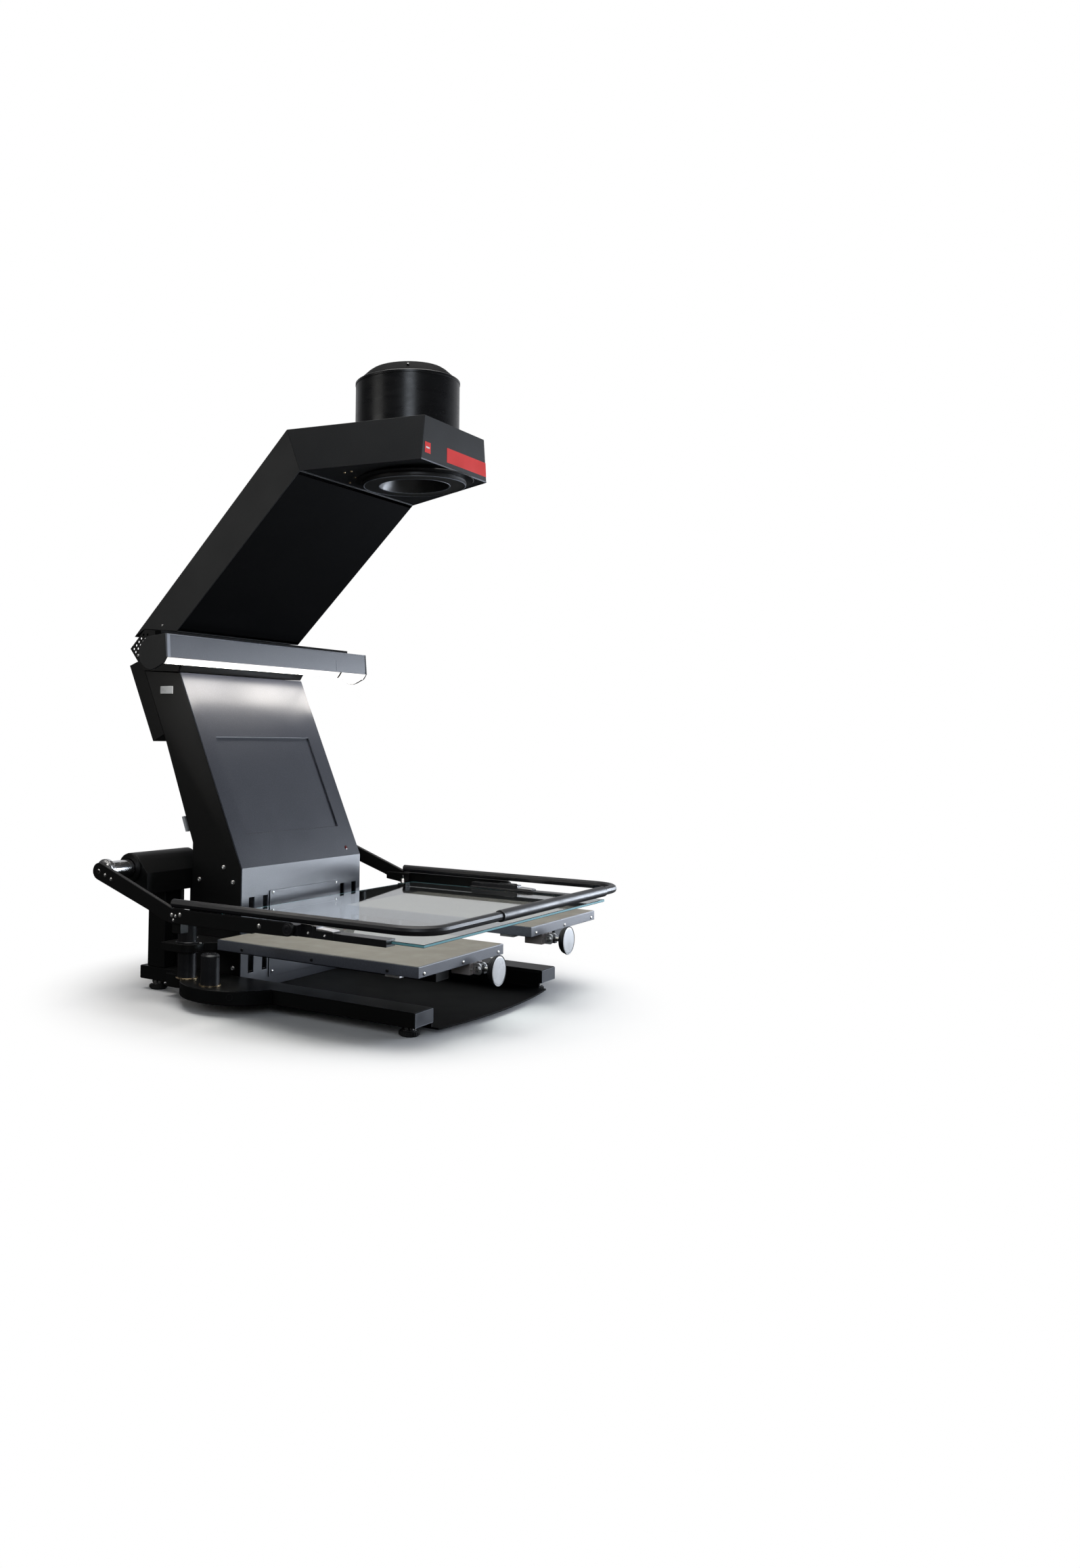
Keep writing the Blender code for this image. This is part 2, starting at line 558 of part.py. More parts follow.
def camera_drum(parent):
    """The turned cover over the camera, open below, whose foot follows the slope of the head."""
    wall = 3.0
    profile = [(DRUM_RADIUS, 1064), (DRUM_RADIUS, DRUM_RIM - 2), (DRUM_RADIUS - 2, DRUM_RIM)]
    inside = DRUM_RADIUS - wall
    profile += [(inside - 6, DRUM_RIM), (inside, DRUM_RIM - 8), (inside, 1064)]
    shape = turned(profile, (0, DRUM_Y, 0), segments=40)
    obj = new_object("camera_drum", shape, "black_gloss", parent, smooth=True)
    block = cuboid((-150, -180, -60), (150, 180, 0))
    middle = (ARM_REAR_TOP[0] + HEAD_FRONT) / 2
    height = (ARM_REAR_TOP[1] + HEAD_FRONT_TOP) / 2 + GAP
    place = Matrix.Translation((0, middle, height)) @ Matrix.Rotation(-head_slope(), 4, "X")
    bmesh.ops.transform(block, matrix=place, verts=block.verts)
    cut(obj, block, "head_slope")


def drum_cap(parent):
    profile = [(0, DRUM_RIM + GAP), (DRUM_RADIUS - 4, DRUM_RIM + GAP), (DRUM_RADIUS - 8, DRUM_RIM + 5)]
    profile += [(78, CAP_TOP - 4), (72, CAP_TOP), (0, CAP_TOP)]
    shape = turned(profile, (0, DRUM_Y, 0), segments=40)
    new_object("drum_cap", shape, "black_gloss", parent, smooth=True)


# ---------------------------------------------------------------- glass frame


def drive_housing(name, side, parent):
    """Housing behind the column in which the pivot shaft turns: round on top, flat in front and below."""
    top = arc((HINGE_Y, HINGE_Z), 28.5, 0, 150, 8)
    outline = [(139.0, 197.0), (211.1, 197.0)] + top + [(139.0, 236.0)]
    xs = sided(side, HOUSING_INNER, HOUSING_OUTER)
    shape = prism(outline, xs[0], xs[1], "x")
    obj = new_object(f"drive_housing_{name}", shape, "black_paint", parent, smooth=True)
    bore = sided(side, HOUSING_OUTER - 60, HOUSING_OUTER + 5)
    cut(obj, rod(BORE_RADIUS, bore[0], bore[1], (0, HINGE_Y, HINGE_Z), "x"), "bore")


def pivot_shaft(name, side, parent):
    xs = sided(side, HOUSING_OUTER - 58, ARM_INNER - GAP)
    shape = rod(SHAFT_RADIUS, xs[0], xs[1], (0, HINGE_Y, HINGE_Z), "x")
    new_object(f"pivot_shaft_{name}", shape, "chrome", parent, smooth=True)


def swing_arm(name, side, parent):
    """The flat arm that drops from the pivot shaft to the side rail."""
    end = arc((HINGE_Y, HINGE_Z), 15.6, -70, 110, 10)
    outline = [(2.6, 166.0), (19.8, 169.8), (56.8, 184.5)] + end + [(2.6, 193.5)]
    xs = sided(side, ARM_INNER, ARM_OUTER)
    obj = new_object(f"swing_arm_{name}", prism(outline, xs[0], xs[1], "x"), "black_paint", parent)
    soften(obj, 0.8)
    head = sided(side, ARM_OUTER - 2.0, SCREW_FACE)
    join(obj, rod(3.0, head[0], head[1], (0, HINGE_Y, HINGE_Z), "x", 16), "shaft_screw_head")


def side_rail(name, side, parent):
    """The side rail with the rounded link that holds the glass pivot."""
    nose = arc((TILT_Y, TILT_Z), 11.3, 90, 270, 8)
    outline = [(2.3, 166.0), (2.3, 191.5), (-183.0, 191.5)] + nose + [(-183.0, 168.0), (-183.0, 166.0)]
    xs = sided(side, ARM_INNER, ARM_OUTER)
    soften(new_object(f"side_rail_{name}", prism(outline, xs[0], xs[1], "x"), "black_paint", parent), 0.8)


def handle_path():
    """Centre line of the handle tube: back along one side, round the front, and back along the other."""
    bend = TUBE_BEND
    left = arc((-TUBE_X + bend, HANDLE_Y + bend), bend, 180, 270, 6)
    right = arc((TUBE_X - bend, HANDLE_Y + bend), bend, 270, 360, 6)
    return [(-TUBE_X, TUBE_REAR)] + left + right + [(TUBE_X, TUBE_REAR)]


def handle_tube(parent):
    curve = bpy.data.curves.new("handle_tube", "CURVE")
    curve.dimensions = "3D"
    curve.bevel_depth = TUBE_RADIUS * MM
    curve.bevel_resolution = 3
    curve.use_fill_caps = True
    points = handle_path()
    spline = curve.splines.new("POLY")
    spline.points.add(len(points) - 1)
    base = Vector(parent["place"])
    for point, (x, y) in zip(spline.points, points):
        point.co = (*((Vector((x, y, TUBE_Z)) - base) * MM), 1.0)
    curve.materials.append(finish_material("handle_tube", "black_gloss"))
    obj = bpy.data.objects.new("handle_tube", curve)
    bpy.context.scene.collection.objects.link(obj)
    obj.parent = parent


def grip_sleeve(parent):
    inner = TUBE_RADIUS + GAP
    profile = [(inner, SLEEVE_FROM), (SLEEVE_RADIUS - 1, SLEEVE_FROM), (SLEEVE_RADIUS, SLEEVE_FROM + 1)]
    profile += [(SLEEVE_RADIUS, SLEEVE_TO - 1), (SLEEVE_RADIUS - 1, SLEEVE_TO), (inner, SLEEVE_TO)]
    shape = turned(profile, (0, HANDLE_Y, TUBE_Z), "x", 24)
    new_object("grip_sleeve", shape, "black_gloss", parent, smooth=True)


def glass_plate(parent):
    low, high = (-GLASS_HALF, GLASS_FRONT, GLASS_LOW), (GLASS_HALF, GLASS_REAR, GLASS_HIGH)
    soften(new_object("glass_plate", cuboid(low, high), "glass", parent), 0.8)


def glass_clip(name, side, parent):
    """The channel that grips the glass edge, the pad on top of it and the lug hanging from the link pivot."""
    xs = sided(side, GLASS_HALF - 10, GLASS_HALF + 17)
    channel = cuboid((xs[0], -436, 167.6), (xs[1], -190, 179.2))
    obj = new_object(f"glass_clip_{name}", channel, "black_gloss", parent)
    ys = sided(side, GLASS_HALF - 20, GLASS_HALF + GAP)
    cut(obj, cuboid((ys[0], -440, GLASS_LOW - GAP), (ys[1], -180, GLASS_HIGH + GAP)), "glass_slot")
    pad = sided(side, GLASS_HALF - 3, GLASS_HALF + 17)
    join(obj, cuboid((pad[0], -300, 178.0), (pad[1], -190.5, 187.5)), "top_pad")
    lug = sided(side, GLASS_HALF + 5, ARM_INNER - GAP)
    join(obj, cuboid((lug[0], -270, 169.5), (lug[1], -246, 188.0)), "pivot_lug")


# ---------------------------------------------------------------- book plates


def lift_bracket(name, side, parent):
    """The carrier of a book plate: it slides on the guide post and reaches forward under the plate."""
    drop = PLATE_TOP[side] - PLATE_TOP[-1]
    nose = arc((GUIDE_X, GUIDE_Y), BRACKET_NOSE, 0, -90, 6)
    outline = [(206.0, -455.0), (249.0, -455.0), (249.0, 18.0), (268.0, 31.5)] + nose[::-1]
    outline += [(GUIDE_X + BRACKET_NOSE, 100.0), (206.0, 100.0)]
    shape = prism(mirrored(outline, side), 97.0 + drop, 112.0 + drop, "z")
    obj = new_object(f"lift_bracket_{name}", shape, "black_paint", parent)
    cut(obj, rod(GUIDE_RADIUS + 0.8, 90, 140, (side * GUIDE_X, GUIDE_Y, 0)), "post_hole")


def slide_rail(name, side, parent):
    """The bright cross rail on which the plate moves towards or away from the book's spine."""
    drop = PLATE_TOP[side] - PLATE_TOP[-1]
    xs = sided(side, 75.0, 325.0)
    low, high = (xs[0], -432.0, 112.3 + drop), (xs[1], -404.0, 118.6 + drop)
    new_object(f"slide_rail_{name}", cuboid(low, high), "bright_metal", parent)


def book_plate(name, side, parent):
    """A flat tray turned upside down, which the book lies on."""
    xs, top = sided(side, PLATE_IN, PLATE_OUT), PLATE_TOP[side]
    low, high = (xs[0], PLATE_FRONT, top - PLATE_THICK), (xs[1], PLATE_REAR, top)
    obj = new_object(f"book_plate_{name}", cuboid(low, high), "grey_paint", parent)
    wall = 2.5
    low = (xs[0] + wall, PLATE_FRONT + wall, top - PLATE_THICK - 5)
    high = (xs[1] - wall, PLATE_REAR - wall, top - 3.0)
    cut(obj, cuboid(low, high), "underside")


def clamp_block(name, side, parent):
    """The bright block that rides in front of the cross rail and takes the clamp screw."""
    bottom = PLATE_TOP[side] - 40.6
    xs = sided(side, KNOB_X - 22, KNOB_X + 22)
    low, high = (xs[0], -470.0, bottom), (xs[1], -434.0, PLATE_TOP[side] - 3.3)
    soften(new_object(f"clamp_block_{name}", cuboid(low, high), "bright_metal", parent), 0.8)


def clamp_knob(name, side, parent):
    """Threaded rod, black grip and white face disc of the clamp, turned as one."""
    front, face = -470.0 - GAP, KNOB_FACE
    profile = [(0, -front), (4, -front), (4, -face - 13), (12, -face - 13), (22, -face - 7), (24, -face - 3)]
    profile += [(26.5, -face - 2), (26.5, -face), (0, -face)]
    shape = turned(profile, (side * KNOB_X, 0, PLATE_TOP[side] - 30.6), "y", 32)
    new_object(f"clamp_knob_{name}", shape, "white", parent, smooth=True)


def build():
    clear_scene()
    scanner = empty("scanner_frame", (0.0, 0.0, 0.0))
    scanner.location.y = -CENTRE_Y * MM
    for name, side in SIDES.items():
        beam(name, side, scanner)
        rear_post(name, side, scanner)
        side_pod(name, side, scanner)
        guide_post(name, side, scanner)
        lift_damper(name, side, scanner)
        hinge_plate(name, side, scanner)
        lamp_cap(name, side, scanner)
        drive_housing(name, side, scanner)
        for end, (x, y) in FOOT_PLACES.items():
            foot(end, name, side, empty(f"foot_axis_{end}_{name}", (side * x, y, 0.0), scanner))
    fixed = (floor_plate, column_front, display_panel, column_shell, lower_cover)
    fixed += (rear_box, rear_latch, side_socket)
    fixed += (neck_shell, lamp_housing, lamp_diffuser, arm_shell, arm_cover, head_shell, head_floor)
    fixed += (lens_ring, camera_body, camera_drum, drum_cap)
    for make in fixed:
        make(scanner)

    swing = empty("glass_frame_axis", (0.0, HINGE_Y, HINGE_Z), scanner)
    tilt = empty("glass_tilt_axis", (0.0, TILT_Y, TILT_Z), swing)
    for name, side in SIDES.items():
        pivot_shaft(name, side, swing)
        swing_arm(name, side, swing)
        side_rail(name, side, swing)
        glass_clip(name, side, tilt)
    handle_tube(swing)
    grip_sleeve(swing)
    glass_plate(tilt)

    for name, side in SIDES.items():
        lift = empty(f"lift_axis_{name}", (side * GUIDE_X, GUIDE_Y, 100.0), scanner)
        slide = empty(f"slide_axis_{name}", (side * KNOB_X, -418.0, PLATE_TOP[side] - 22.0), lift)
        knob = empty(f"knob_axis_{name}", (side * KNOB_X, KNOB_FACE, PLATE_TOP[side] - 30.6), slide)
        lift_bracket(name, side, lift)
        slide_rail(name, side, lift)
        book_plate(name, side, slide)
        clamp_block(name, side, slide)
        clamp_knob(name, side, knob)


build()
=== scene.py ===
# %% [markdown]
# # An overhead book scanner
# The machine scans an open book from above. A leaning steel column stands on two beams and
# carries a lamp bar and, on a long arm, the head with the camera. In front of the column a glass
# plate in a swinging frame presses the book flat, and two plates underneath carry its two halves.
# The mechanical frame is already made, with every piece in its real place and size. This lesson
# loads that frame, gives each piece its finish, and adds the small things that the frame leaves
# out: screws, seams, clamps, labels, the felt under the book and the camera's front glass.

# %% Load the frame
import math

import bmesh
import bpy
from mathutils import Matrix, Vector


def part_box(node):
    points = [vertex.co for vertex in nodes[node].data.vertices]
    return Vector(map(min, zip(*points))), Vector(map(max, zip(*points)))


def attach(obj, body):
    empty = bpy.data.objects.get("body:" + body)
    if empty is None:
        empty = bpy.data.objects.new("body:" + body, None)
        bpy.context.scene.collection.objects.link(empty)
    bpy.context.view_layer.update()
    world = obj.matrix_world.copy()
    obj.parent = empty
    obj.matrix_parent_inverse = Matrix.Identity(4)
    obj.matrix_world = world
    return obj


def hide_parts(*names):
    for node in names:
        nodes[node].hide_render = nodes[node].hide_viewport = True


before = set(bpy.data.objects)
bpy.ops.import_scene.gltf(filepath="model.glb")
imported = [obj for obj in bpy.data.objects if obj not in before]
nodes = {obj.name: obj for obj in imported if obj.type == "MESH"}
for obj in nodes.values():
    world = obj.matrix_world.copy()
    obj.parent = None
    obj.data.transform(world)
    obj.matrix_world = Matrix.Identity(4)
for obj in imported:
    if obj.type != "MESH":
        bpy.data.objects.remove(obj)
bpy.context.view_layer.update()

# %% [markdown]
# All places below are in millimetres, measured from the middle of the column's lower front edge:
# x to the user's right, y away from the user, z up from the floor. A maker measures from such an
# edge, and the numbers stay short. One matrix turns them into the frame's metres.

# %% The working frame
MM = 0.001
FRONT_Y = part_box("column_front")[0].y
TO_METRES = Matrix.Translation((0.0, FRONT_Y, 0.0)) @ Matrix.Scale(MM, 4)
SIDES = {"left": -1, "right": 1}
print("column front at y =", round(FRONT_Y, 4), "m")

# %% [markdown]
# ## Shapes that small parts are made of
# Turned parts, such as nuts, washers and screw heads, are a profile spun about an axis. Sheet and
# block parts are an outline pushed through a thickness. Both add to an open shape in millimetres, so
# several can be gathered into one piece, as a set of screws is.

# %% Turned and extruded shapes
SHARP_FOLD, BEVEL_FOLD = 35, 32
def lathe(shape, profile, place, direction, segments=24):
    """Adds a profile of (radius, height) points, turned about a direction through a place.
    A third value "hex" makes that ring a hexagon, as in the socket of a cap screw."""
    turn = Vector(direction).to_track_quat("Z", "Y").to_matrix().to_4x4()
    matrix = Matrix.Translation(place) @ turn
    rings = []
    for radius, height, *form in profile:
        ring = []
        for step in range(segments if radius else 1):
            angle = 2 * math.pi * step / segments
            reach = radius / math.cos(angle % (math.pi / 3) - math.pi / 6) if form else radius
            point = Vector((reach * math.cos(angle), reach * math.sin(angle), height))
            ring.append(shape.verts.new(matrix @ point))
        rings.append(ring)
    for first, second in zip(rings, rings[1:]):
        for step in range(segments):
            after = (step + 1) % segments
            corners = [first[step % len(first)], first[after % len(first)]]
            corners += [second[after % len(second)], second[step % len(second)]]
            shape.faces.new(list(dict.fromkeys(corners)))


def slab(shape, outline, low, high, axis):
    """Adds an outline pushed from low to high along x, y or z."""
    slot = "xyz".index(axis)

    def corner(point, depth):
        """One corner of the outline at a depth along the axis."""
        values = list(point)
        values.insert(slot, depth)
        return shape.verts.new(values)

    first = [corner(point, low) for point in outline]
    second = [corner(point, high) for point in outline]
    shape.faces.new(first)
    shape.faces.new(second[::-1])
    for k in range(len(outline)):
        after = (k + 1) % len(outline)
        shape.faces.new([first[k], second[k], second[after], first[after]])


def block(shape, low, high):
    """Adds a plain block between two opposite corners."""
    outline = [(low[0], low[1]), (high[0], low[1]), (high[0], high[1]), (low[0], high[1])]
    slab(shape, outline, low[2], high[2], "z")


def across(side, inner, outer):
    """The low and the high end of a part that lies between two distances from the middle."""
    return sorted((side * inner, side * outer))
def add_piece(name, shape, material, body, edge=0.0):
    """Turns a shape into a piece that rides on a body. Edge is the width of its rounded edges."""
    bmesh.ops.recalc_face_normals(shape, faces=shape.faces)
    mesh = bpy.data.meshes.new(name)
    shape.to_mesh(mesh)
    shape.free()
    mesh.transform(TO_METRES)
    mesh.materials.append(material)
    piece = bpy.data.objects.new(name, mesh)
    bpy.context.scene.collection.objects.link(piece)
    mesh.shade_smooth()
    mesh.set_sharp_from_angle(angle=math.radians(SHARP_FOLD))
    if edge:
        round_edges(piece, edge)
    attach(piece, body)
    return piece


def round_edges(piece, width):
    """Small rounded edges, which catch a thin line of light as real sheet metal does."""
    bevel = piece.modifiers.new("rounded edges", "BEVEL")
    bevel.width = width * MM
    bevel.segments = 2
    bevel.limit_method = "ANGLE"
    bevel.angle_limit = math.radians(BEVEL_FOLD)


print("shapes ready: lathe, slab, block")

# %% [markdown]
# ## Finishes
# Most of the machine is steel sheet with a baked powder paint. Such paint isn't smooth: close up it
# has a fine orange peel, the pigment is a little cloudy, and hands and dust leave patches that are
# slightly more or less shiny. Three noises of very different size give those three effects.

# %% Powder paint
def powder_paint(name, colour, light_colour, roughness, peel_depth, gloss):
    """Satin powder paint. light_colour is the shade of the thinner, more worn patches."""
    material = bpy.data.materials.new(name)
    material.use_nodes = True
    tree = material.node_tree
    tree.nodes.clear()

    place = tree.nodes.new("ShaderNodeTexCoord")
    place.label = "Place on the machine"
    cloud = tree.nodes.new("ShaderNodeTexNoise")
    cloud.label = "Cloudy pigment"
    grains = tree.nodes.new("ShaderNodeTexNoise")
    grains.label = "Single grains of powder"
    cloud_share = tree.nodes.new("ShaderNodeMapRange")
    cloud_share.label = "How much the pigment varies"
    grain_share = tree.nodes.new("ShaderNodeMapRange")
    grain_share.label = "Only the palest grains show"
    clouded = tree.nodes.new("ShaderNodeMix")
    clouded.label = "Paint with its clouds"
    speckled = tree.nodes.new("ShaderNodeMix")
    speckled.label = "Paint with its grains"
    handling = tree.nodes.new("ShaderNodeTexNoise")
    handling.label = "Where hands and dust were"
    shine = tree.nodes.new("ShaderNodeMapRange")
    shine.label = "Roughness of the satin"
    peel = tree.nodes.new("ShaderNodeTexVoronoi")
    peel.label = "Orange peel cells"
    peel_bump = tree.nodes.new("ShaderNodeBump")
    peel_bump.label = "Orange peel relief"
    grain_bump = tree.nodes.new("ShaderNodeBump")
    grain_bump.label = "Grain relief"
    surface = tree.nodes.new("ShaderNodeBsdfPrincipled")
    surface.label = "Painted steel"
    output = tree.nodes.new("ShaderNodeOutputMaterial")
    output.label = "Surface"

    colour_frame = tree.nodes.new("NodeFrame")
    colour_frame.label = "Colour"
    shine_frame = tree.nodes.new("NodeFrame")
    shine_frame.label = "Shine"
    relief_frame = tree.nodes.new("NodeFrame")
    relief_frame.label = "Relief"
    for node in (cloud, grains, cloud_share, grain_share, clouded, speckled):
        node.parent = colour_frame
    for node in (handling, shine):
        node.parent = shine_frame
    for node in (peel, peel_bump, grain_bump):
        node.parent = relief_frame
    layout = ((place, 0, 2), (cloud, 1, 0), (grains, 1, 1), (cloud_share, 2, 0), (grain_share, 2, 1))
    layout += ((clouded, 3, 0), (speckled, 4, 0), (handling, 1, 3), (shine, 2, 3), (peel, 1, 5))
    layout += ((peel_bump, 2, 5), (grain_bump, 3, 5), (surface, 5, 2), (output, 6, 2))
    for node, column, row in layout:
        node.location = (column * 240, -row * 240)

    cloud.inputs["Scale"].default_value = 7.0
    cloud.inputs["Detail"].default_value = 5.0
    cloud.inputs["Roughness"].default_value = 0.6
    cloud_share.inputs["From Min"].default_value = 0.35
    cloud_share.inputs["From Max"].default_value = 0.75
    cloud_share.inputs["To Max"].default_value = 0.4
    grains.inputs["Scale"].default_value = 900.0
    grains.inputs["Detail"].default_value = 2.0
    grain_share.inputs["From Min"].default_value = 0.52
    grain_share.inputs["From Max"].default_value = 0.72
    grain_share.inputs["To Max"].default_value = 0.8
    clouded.data_type = "RGBA"
    clouded.inputs["A"].default_value = (*colour, 1.0)
    clouded.inputs["B"].default_value = (*light_colour, 1.0)
    speckled.data_type = "RGBA"
    speckled.inputs["B"].default_value = (*[1.7 * value for value in light_colour], 1.0)
    handling.inputs["Scale"].default_value = 16.0
    handling.inputs["Detail"].default_value = 3.0
    shine.inputs["From Min"].default_value = 0.3
    shine.inputs["From Max"].default_value = 0.7
    shine.inputs["To Min"].default_value = roughness - 0.02
    shine.inputs["To Max"].default_value = roughness + 0.03
    peel.feature = "SMOOTH_F1"
    peel.inputs["Scale"].default_value = 420.0
    peel_bump.inputs["Strength"].default_value = 0.5
    peel_bump.inputs["Distance"].default_value = peel_depth * MM
    grain_bump.inputs["Strength"].default_value = 0.35
    grain_bump.inputs["Distance"].default_value = 0.05 * MM
    surface.inputs["Specular IOR Level"].default_value = gloss

    tree.links.new(place.outputs["Object"], cloud.inputs["Vector"])
    tree.links.new(place.outputs["Object"], grains.inputs["Vector"])
    tree.links.new(place.outputs["Object"], handling.inputs["Vector"])
    tree.links.new(place.outputs["Object"], peel.inputs["Vector"])
    tree.links.new(cloud.outputs["Fac"], cloud_share.inputs["Value"])
    tree.links.new(grains.outputs["Fac"], grain_share.inputs["Value"])
    tree.links.new(cloud_share.outputs["Result"], clouded.inputs["Factor"])
    tree.links.new(clouded.outputs["Result"], speckled.inputs["A"])
    tree.links.new(grain_share.outputs["Result"], speckled.inputs["Factor"])
    tree.links.new(speckled.outputs["Result"], surface.inputs["Base Color"])
    tree.links.new(handling.outputs["Fac"], shine.inputs["Value"])
    tree.links.new(shine.outputs["Result"], surface.inputs["Roughness"])
    tree.links.new(peel.outputs["Distance"], peel_bump.inputs["Height"])
    tree.links.new(grains.outputs["Fac"], grain_bump.inputs["Height"])
    tree.links.new(peel_bump.outputs["Normal"], grain_bump.inputs["Normal"])
    tree.links.new(grain_bump.outputs["Normal"], surface.inputs["Normal"])
    tree.links.new(surface.outputs["BSDF"], output.inputs["Surface"])
    return material


grey_paint = powder_paint(
    "grey_paint", (0.030, 0.033, 0.043), (0.038, 0.041, 0.052),
    roughness=0.31, peel_depth=0.10, gloss=0.5,
)
# Lighter than the column's grey so that the plate rims look lit: the blue-grey is real, the extra lightness
# is painted light.
plate_lightened_paint = powder_paint(
    "plate_lightened_paint", (0.066, 0.072, 0.090), (0.076, 0.082, 0.102),
    roughness=0.34, peel_depth=0.10, gloss=0.7,
)
black_paint = powder_paint(
    "black_paint", (0.0034, 0.0034, 0.0035), (0.0050, 0.0050, 0.0051),
    roughness=0.44, peel_depth=0.08, gloss=0.26,
)
head_paint = powder_paint(
    "head_paint", (0.0060, 0.0066, 0.0078), (0.0085, 0.0090, 0.0100),
    roughness=0.46, peel_depth=0.09, gloss=0.42,
)
# A duller, slightly darker black for parts that lie in shade (the floor plate, the arm's underside, the strip
# under the arm) and for the drum's cap: painted shade.
shade_black_paint = powder_paint(
    "shade_black_paint", (0.0026, 0.0026, 0.0028), (0.0038, 0.0038, 0.0040),
    roughness=0.55, peel_depth=0.09, gloss=0.04,
)
print("paints:", grey_paint.name, plate_lightened_paint.name, black_paint.name, head_paint.name, shade_black_paint.name)

# %% [markdown]
# Gloss black parts, such as the drum over the camera and the lacquered handle, reflect the room
# nearly like a mirror. What makes them look real is what spoils the mirror: thin smears from
# fingers, which are rougher, and single specks of dust, which are paler.

# %% Gloss black
def gloss_black(name, colour, roughness, smear, coat):
    """Black lacquer or moulded plastic. smear is how much rougher a wiped patch is."""
    material = bpy.data.materials.new(name)
    material.use_nodes = True
    tree = material.node_tree
    tree.nodes.clear()

    place = tree.nodes.new("ShaderNodeTexCoord")
    place.label = "Place on the machine"
    wiping = tree.nodes.new("ShaderNodeMapping")
    wiping.label = "Smears run across"
    smears = tree.nodes.new("ShaderNodeTexNoise")
    smears.label = "Smears of fingers and cloth"
    shine = tree.nodes.new("ShaderNodeMapRange")
    shine.label = "Roughness of the gloss"
    dust = tree.nodes.new("ShaderNodeTexNoise")
    dust.label = "Specks of dust"
    dust_share = tree.nodes.new("ShaderNodeMapRange")
    dust_share.label = "Only a few specks"
    dusty = tree.nodes.new("ShaderNodeMix")
    dusty.label = "Black with its dust"
    ripple = tree.nodes.new("ShaderNodeTexNoise")
    ripple.label = "Slow ripple of the surface"
    ripple_bump = tree.nodes.new("ShaderNodeBump")
    ripple_bump.label = "Ripple relief"
    surface = tree.nodes.new("ShaderNodeBsdfPrincipled")
    surface.label = "Gloss black"
    output = tree.nodes.new("ShaderNodeOutputMaterial")
    output.label = "Surface"

    shine_frame = tree.nodes.new("NodeFrame")
    shine_frame.label = "Shine"
    dust_frame = tree.nodes.new("NodeFrame")
    dust_frame.label = "Dust"
    relief_frame = tree.nodes.new("NodeFrame")
    relief_frame.label = "Relief"
    for node in (wiping, smears, shine):
        node.parent = shine_frame
    for node in (dust, dust_share, dusty):
        node.parent = dust_frame
    for node in (ripple, ripple_bump):
        node.parent = relief_frame
    layout = ((place, 0, 1), (wiping, 1, 1), (smears, 2, 1), (shine, 3, 1), (dust, 1, 0))
    layout += ((dust_share, 2, 0), (dusty, 3, 0), (ripple, 1, 3), (ripple_bump, 2, 3))
    layout += ((surface, 4, 1), (output, 5, 1))
    for node, column, row in layout:
        node.location = (column * 240, -row * 240)

    wiping.inputs["Scale"].default_value = (1.0, 1.0, 3.5)
    smears.inputs["Scale"].default_value = 13.0
    smears.inputs["Detail"].default_value = 6.0
    smears.inputs["Distortion"].default_value = 1.2
    shine.inputs["From Min"].default_value = 0.42
    shine.inputs["From Max"].default_value = 0.72
    shine.inputs["To Min"].default_value = roughness
    shine.inputs["To Max"].default_value = roughness + smear
    dust.inputs["Scale"].default_value = 700.0
    dust.inputs["Detail"].default_value = 1.0
    dust_share.inputs["From Min"].default_value = 0.70
    dust_share.inputs["From Max"].default_value = 0.80
    dust_share.inputs["To Max"].default_value = 0.35
    dusty.data_type = "RGBA"
    dusty.inputs["A"].default_value = (*colour, 1.0)
    dusty.inputs["B"].default_value = (0.20, 0.19, 0.18, 1.0)
    ripple.inputs["Scale"].default_value = 60.0
    ripple.inputs["Detail"].default_value = 1.0
    ripple_bump.inputs["Strength"].default_value = 0.08
    ripple_bump.inputs["Distance"].default_value = 0.3 * MM
    surface.inputs["Coat Weight"].default_value = coat
    surface.inputs["Coat Roughness"].default_value = 0.06

    tree.links.new(place.outputs["Object"], wiping.inputs["Vector"])
    tree.links.new(wiping.outputs["Vector"], smears.inputs["Vector"])
    tree.links.new(smears.outputs["Fac"], shine.inputs["Value"])
    tree.links.new(shine.outputs["Result"], surface.inputs["Roughness"])
    tree.links.new(place.outputs["Object"], dust.inputs["Vector"])
    tree.links.new(dust.outputs["Fac"], dust_share.inputs["Value"])
    tree.links.new(dust_share.outputs["Result"], dusty.inputs["Factor"])
    tree.links.new(dusty.outputs["Result"], surface.inputs["Base Color"])
    tree.links.new(place.outputs["Object"], ripple.inputs["Vector"])
    tree.links.new(ripple.outputs["Fac"], ripple_bump.inputs["Height"])
    tree.links.new(ripple_bump.outputs["Normal"], surface.inputs["Normal"])
    tree.links.new(surface.outputs["BSDF"], output.inputs["Surface"])
    return material


drum_gloss = gloss_black("drum_gloss", (0.005, 0.0052, 0.006), 0.27, 0.08, 0.0)
tube_lacquer = gloss_black("tube_lacquer", (0.009, 0.009, 0.011), 0.40, 0.10, 0.0)
ring_black = gloss_black("ring_black", (0.026, 0.026, 0.025), 0.34, 0.08, 0.0)
anodised_black = gloss_black("anodised_black", (0.013, 0.013, 0.015), 0.28, 0.10, 0.0)
print("gloss blacks:", drum_gloss.name, tube_lacquer.name, anodised_black.name)

# %% [markdown]
# Bare metal is milled, turned or plated. A tool leaves fine lines along its path, so the roughness
# noise is stretched along one direction, and a larger noise gives the slightly duller patches that
# grow where the metal is touched.

